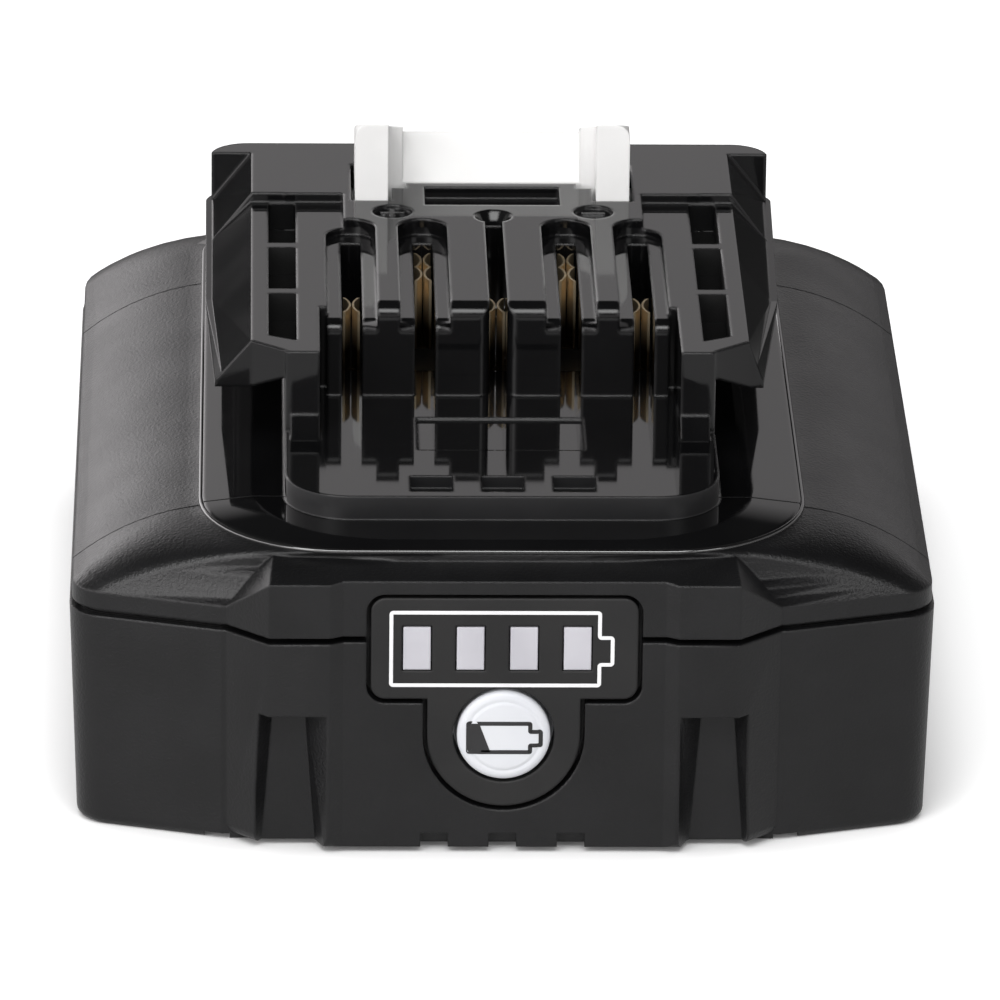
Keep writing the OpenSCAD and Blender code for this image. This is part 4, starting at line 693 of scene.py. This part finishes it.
def ribbon(name, outline, width, face):
    """A closed ribbon of ink: the outline moved by half the width to both sides along its mitred normal,
    a little in front of the face and a little behind it. face gives Y at x, z."""
    ahead, behind = np.roll(outline, -1, axis=0) - outline, outline - np.roll(outline, 1, axis=0)
    ahead /= np.linalg.norm(ahead, axis=1, keepdims=True)
    behind /= np.linalg.norm(behind, axis=1, keepdims=True)
    normal = (ahead + behind)[:, ::-1] * (-1, 1) / (1 + np.sum(ahead * behind, axis=1, keepdims=True))
    edges = outline[:, None, :] + normal[:, None, :] * (width / 2 * np.array((-1, -1, 1, 1)))[None, :, None]
    y = face(edges[..., 0], edges[..., 1]) + np.array((INK_SINK, -INK_T, -INK_T, INK_SINK))
    points = np.stack((edges[..., 0], y, edges[..., 1]), axis=-1)
    return grid_mesh(name, points, closed_u=True, closed_v=True)


# %% Outline on the gauge
PANEL_FACE_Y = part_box("gauge_panel")[0].y / MM
GAUGE_CORNER, GAUGE_LINE = 0.16, 0.29
gauge = rounded(battery(left=-8.57, right=7.19, nub=8.17, low=13.71, high=19.61,
                        nub_low=15.4, nub_high=17.58), GAUGE_CORNER)
print_mesh = ribbon("gauge_print", gauge, GAUGE_LINE, lambda x, z: np.full_like(x, PANEL_FACE_Y))
add_piece(print_mesh, INK_WHITE, "gauge_panel")

# %% Sign on the button
ICON_LEFT, ICON_LOW, ICON_HIGH = -2.69, 8.41, 10.73
ICON_CORNER, ICON_LINE, EDGE_STEPS = 0.08, 0.32, 5
FILL_TOP, FILL_FOOT, FILL_POINTS = -1.86, -1.0, 17


def button_face(x, z):
    """Y of the button's face at x, z: the profile read at the distance from the axis."""
    return FACE_Y + np.interp(np.hypot(x, z - BUTTON_Z), FACE_R, FACE_FALL)


def in_steps(outline, count):
    """A closed outline with each of its edges cut into count equal steps."""
    ahead = np.roll(outline, -1, axis=0) - outline
    step = np.arange(count)[None, :, None] / count
    return (outline[:, None, :] + ahead[:, None, :] * step).reshape(-1, 2)


def icon_fill():
    """The filled end of the sign, a slab of ink: x runs from the left edge to a slanting line and z from
    the bottom to the top, a little in front of the button's face and then back a little behind it."""
    share = np.linspace(0, 1, FILL_POINTS)
    v, u = np.meshgrid(share, share, indexing="ij")
    x = ICON_LEFT + (FILL_FOOT + (FILL_TOP - FILL_FOOT) * v - ICON_LEFT) * u
    z = ICON_LOW + (ICON_HIGH - ICON_LOW) * v
    front = np.stack((x, button_face(x, z) - INK_T, z), axis=-1)
    rear = front + (0, INK_T + INK_SINK, 0)
    return grid_mesh("icon_fill", np.concatenate((front, rear[:, ::-1]), axis=1), closed_v=True, capped=True)


icon = rounded(battery(ICON_LEFT, right=2.01, nub=2.81, low=ICON_LOW, high=ICON_HIGH,
                       nub_low=8.96, nub_high=10.07), ICON_CORNER)
outline = ribbon("icon_outline", in_steps(icon, EDGE_STEPS), ICON_LINE, button_face)
add_piece(merged("button_sign", (icon_fill(), outline)), INK_BLACK, "check_button")

# %% [markdown]
# ## Latch springs
# Two coil springs push the latch up. The CAD model winds them from wire of few sides. Here the wire is round,
# with a turn more, and the end turns lie nearly flat, as a winder closes them. A curve with a bevel would do
# too, but the grid follows the formula: round the axis, and up steadily between the first and the last
# turn.

# %% Wound wire
SPRING_X, SPRING_D, WIRE_D, SPRING_TURNS = 9.45, 4.2, 0.5, 6
LATCH_TRAVEL, TURN_POINTS, WIRE_SIDES, END_RISE = 3.4, 28, 10, 0.12
spring_low, spring_high = [np.array(corner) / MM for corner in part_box("latch_springs")]
SPRING_Y, SPRING_H = (spring_low[1] + spring_high[1]) / 2, spring_high[2] - spring_low[2]


def wound(name, x):
    """Round wire on a helix about an upright axis: a small share of the height, END_RISE, is gained over all
    turns and the rest between the first and the last, so the end turns are nearly flat."""
    t = np.linspace(0, 1, SPRING_TURNS * TURN_POINTS + 1)
    climb = np.clip((t - 1 / SPRING_TURNS) / (1 - 2 / SPRING_TURNS), 0, 1)
    angle = 2 * np.pi * SPRING_TURNS * t
    out = np.stack((np.cos(angle), np.sin(angle), np.zeros_like(t)), axis=1)
    height = spring_low[2] + WIRE_D / 2 + (SPRING_H - WIRE_D) * ((1 - END_RISE) * climb + END_RISE * t)
    path = out * SPRING_D / 2 + np.stack((np.full_like(t, x), np.full_like(t, SPRING_Y), height), axis=1)
    along = np.gradient(path, axis=0)
    along /= np.linalg.norm(along, axis=1, keepdims=True)
    return grid_mesh(name, sweep(path, out, np.cross(along, out), circle(WIRE_D / 2, WIRE_SIDES)),
                     closed_v=True, capped=True)


springs = add_piece(merged("latch_springs_wound", [wound("spring", x) for x in (-SPRING_X, SPRING_X)]),
                    SPRING_WIRE, "latch_springs", stands_for=True)
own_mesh(springs)
print("springs", round(float(SPRING_H), 2), "mm high")

# %% [markdown]
# ## Inside
# The cells, holders, boards and strips are closed in by the case, but a repair diagram or a cut model shows
# them. Their CAD shapes are right, so they only take finishes.

# %% Finishes of the inner nodes
INNER_FINISH = {
    "switch_plastic": INNER_BLACK, "switch_metal": NICKEL, "circuit_board": BOARD_GREEN,
    "led_lens": LAMP_CLEAR, "ribbon_cable": FILM_AMBER, "chip_black": INNER_BLACK,
    "cell_sleeve": SLEEVE_GREEN, "holder_plastic": INNER_BLACK,
    "nickel_strip": NICKEL, "insulator_paper": PAPER_GREY, "cushion_foam": FOAM_BLACK,
    "sensor_bead": INNER_BLACK, "screw_steel": SCREW_STEEL,
}
inner = [node for node in sorted(NODES) if SLOT_OF[node] in INNER_FINISH]
for node in inner:
    NODES[node].data.materials.clear()
    NODES[node].data.materials.append(INNER_FINISH[SLOT_OF[node]])
print("inner nodes with finishes:", len(inner))
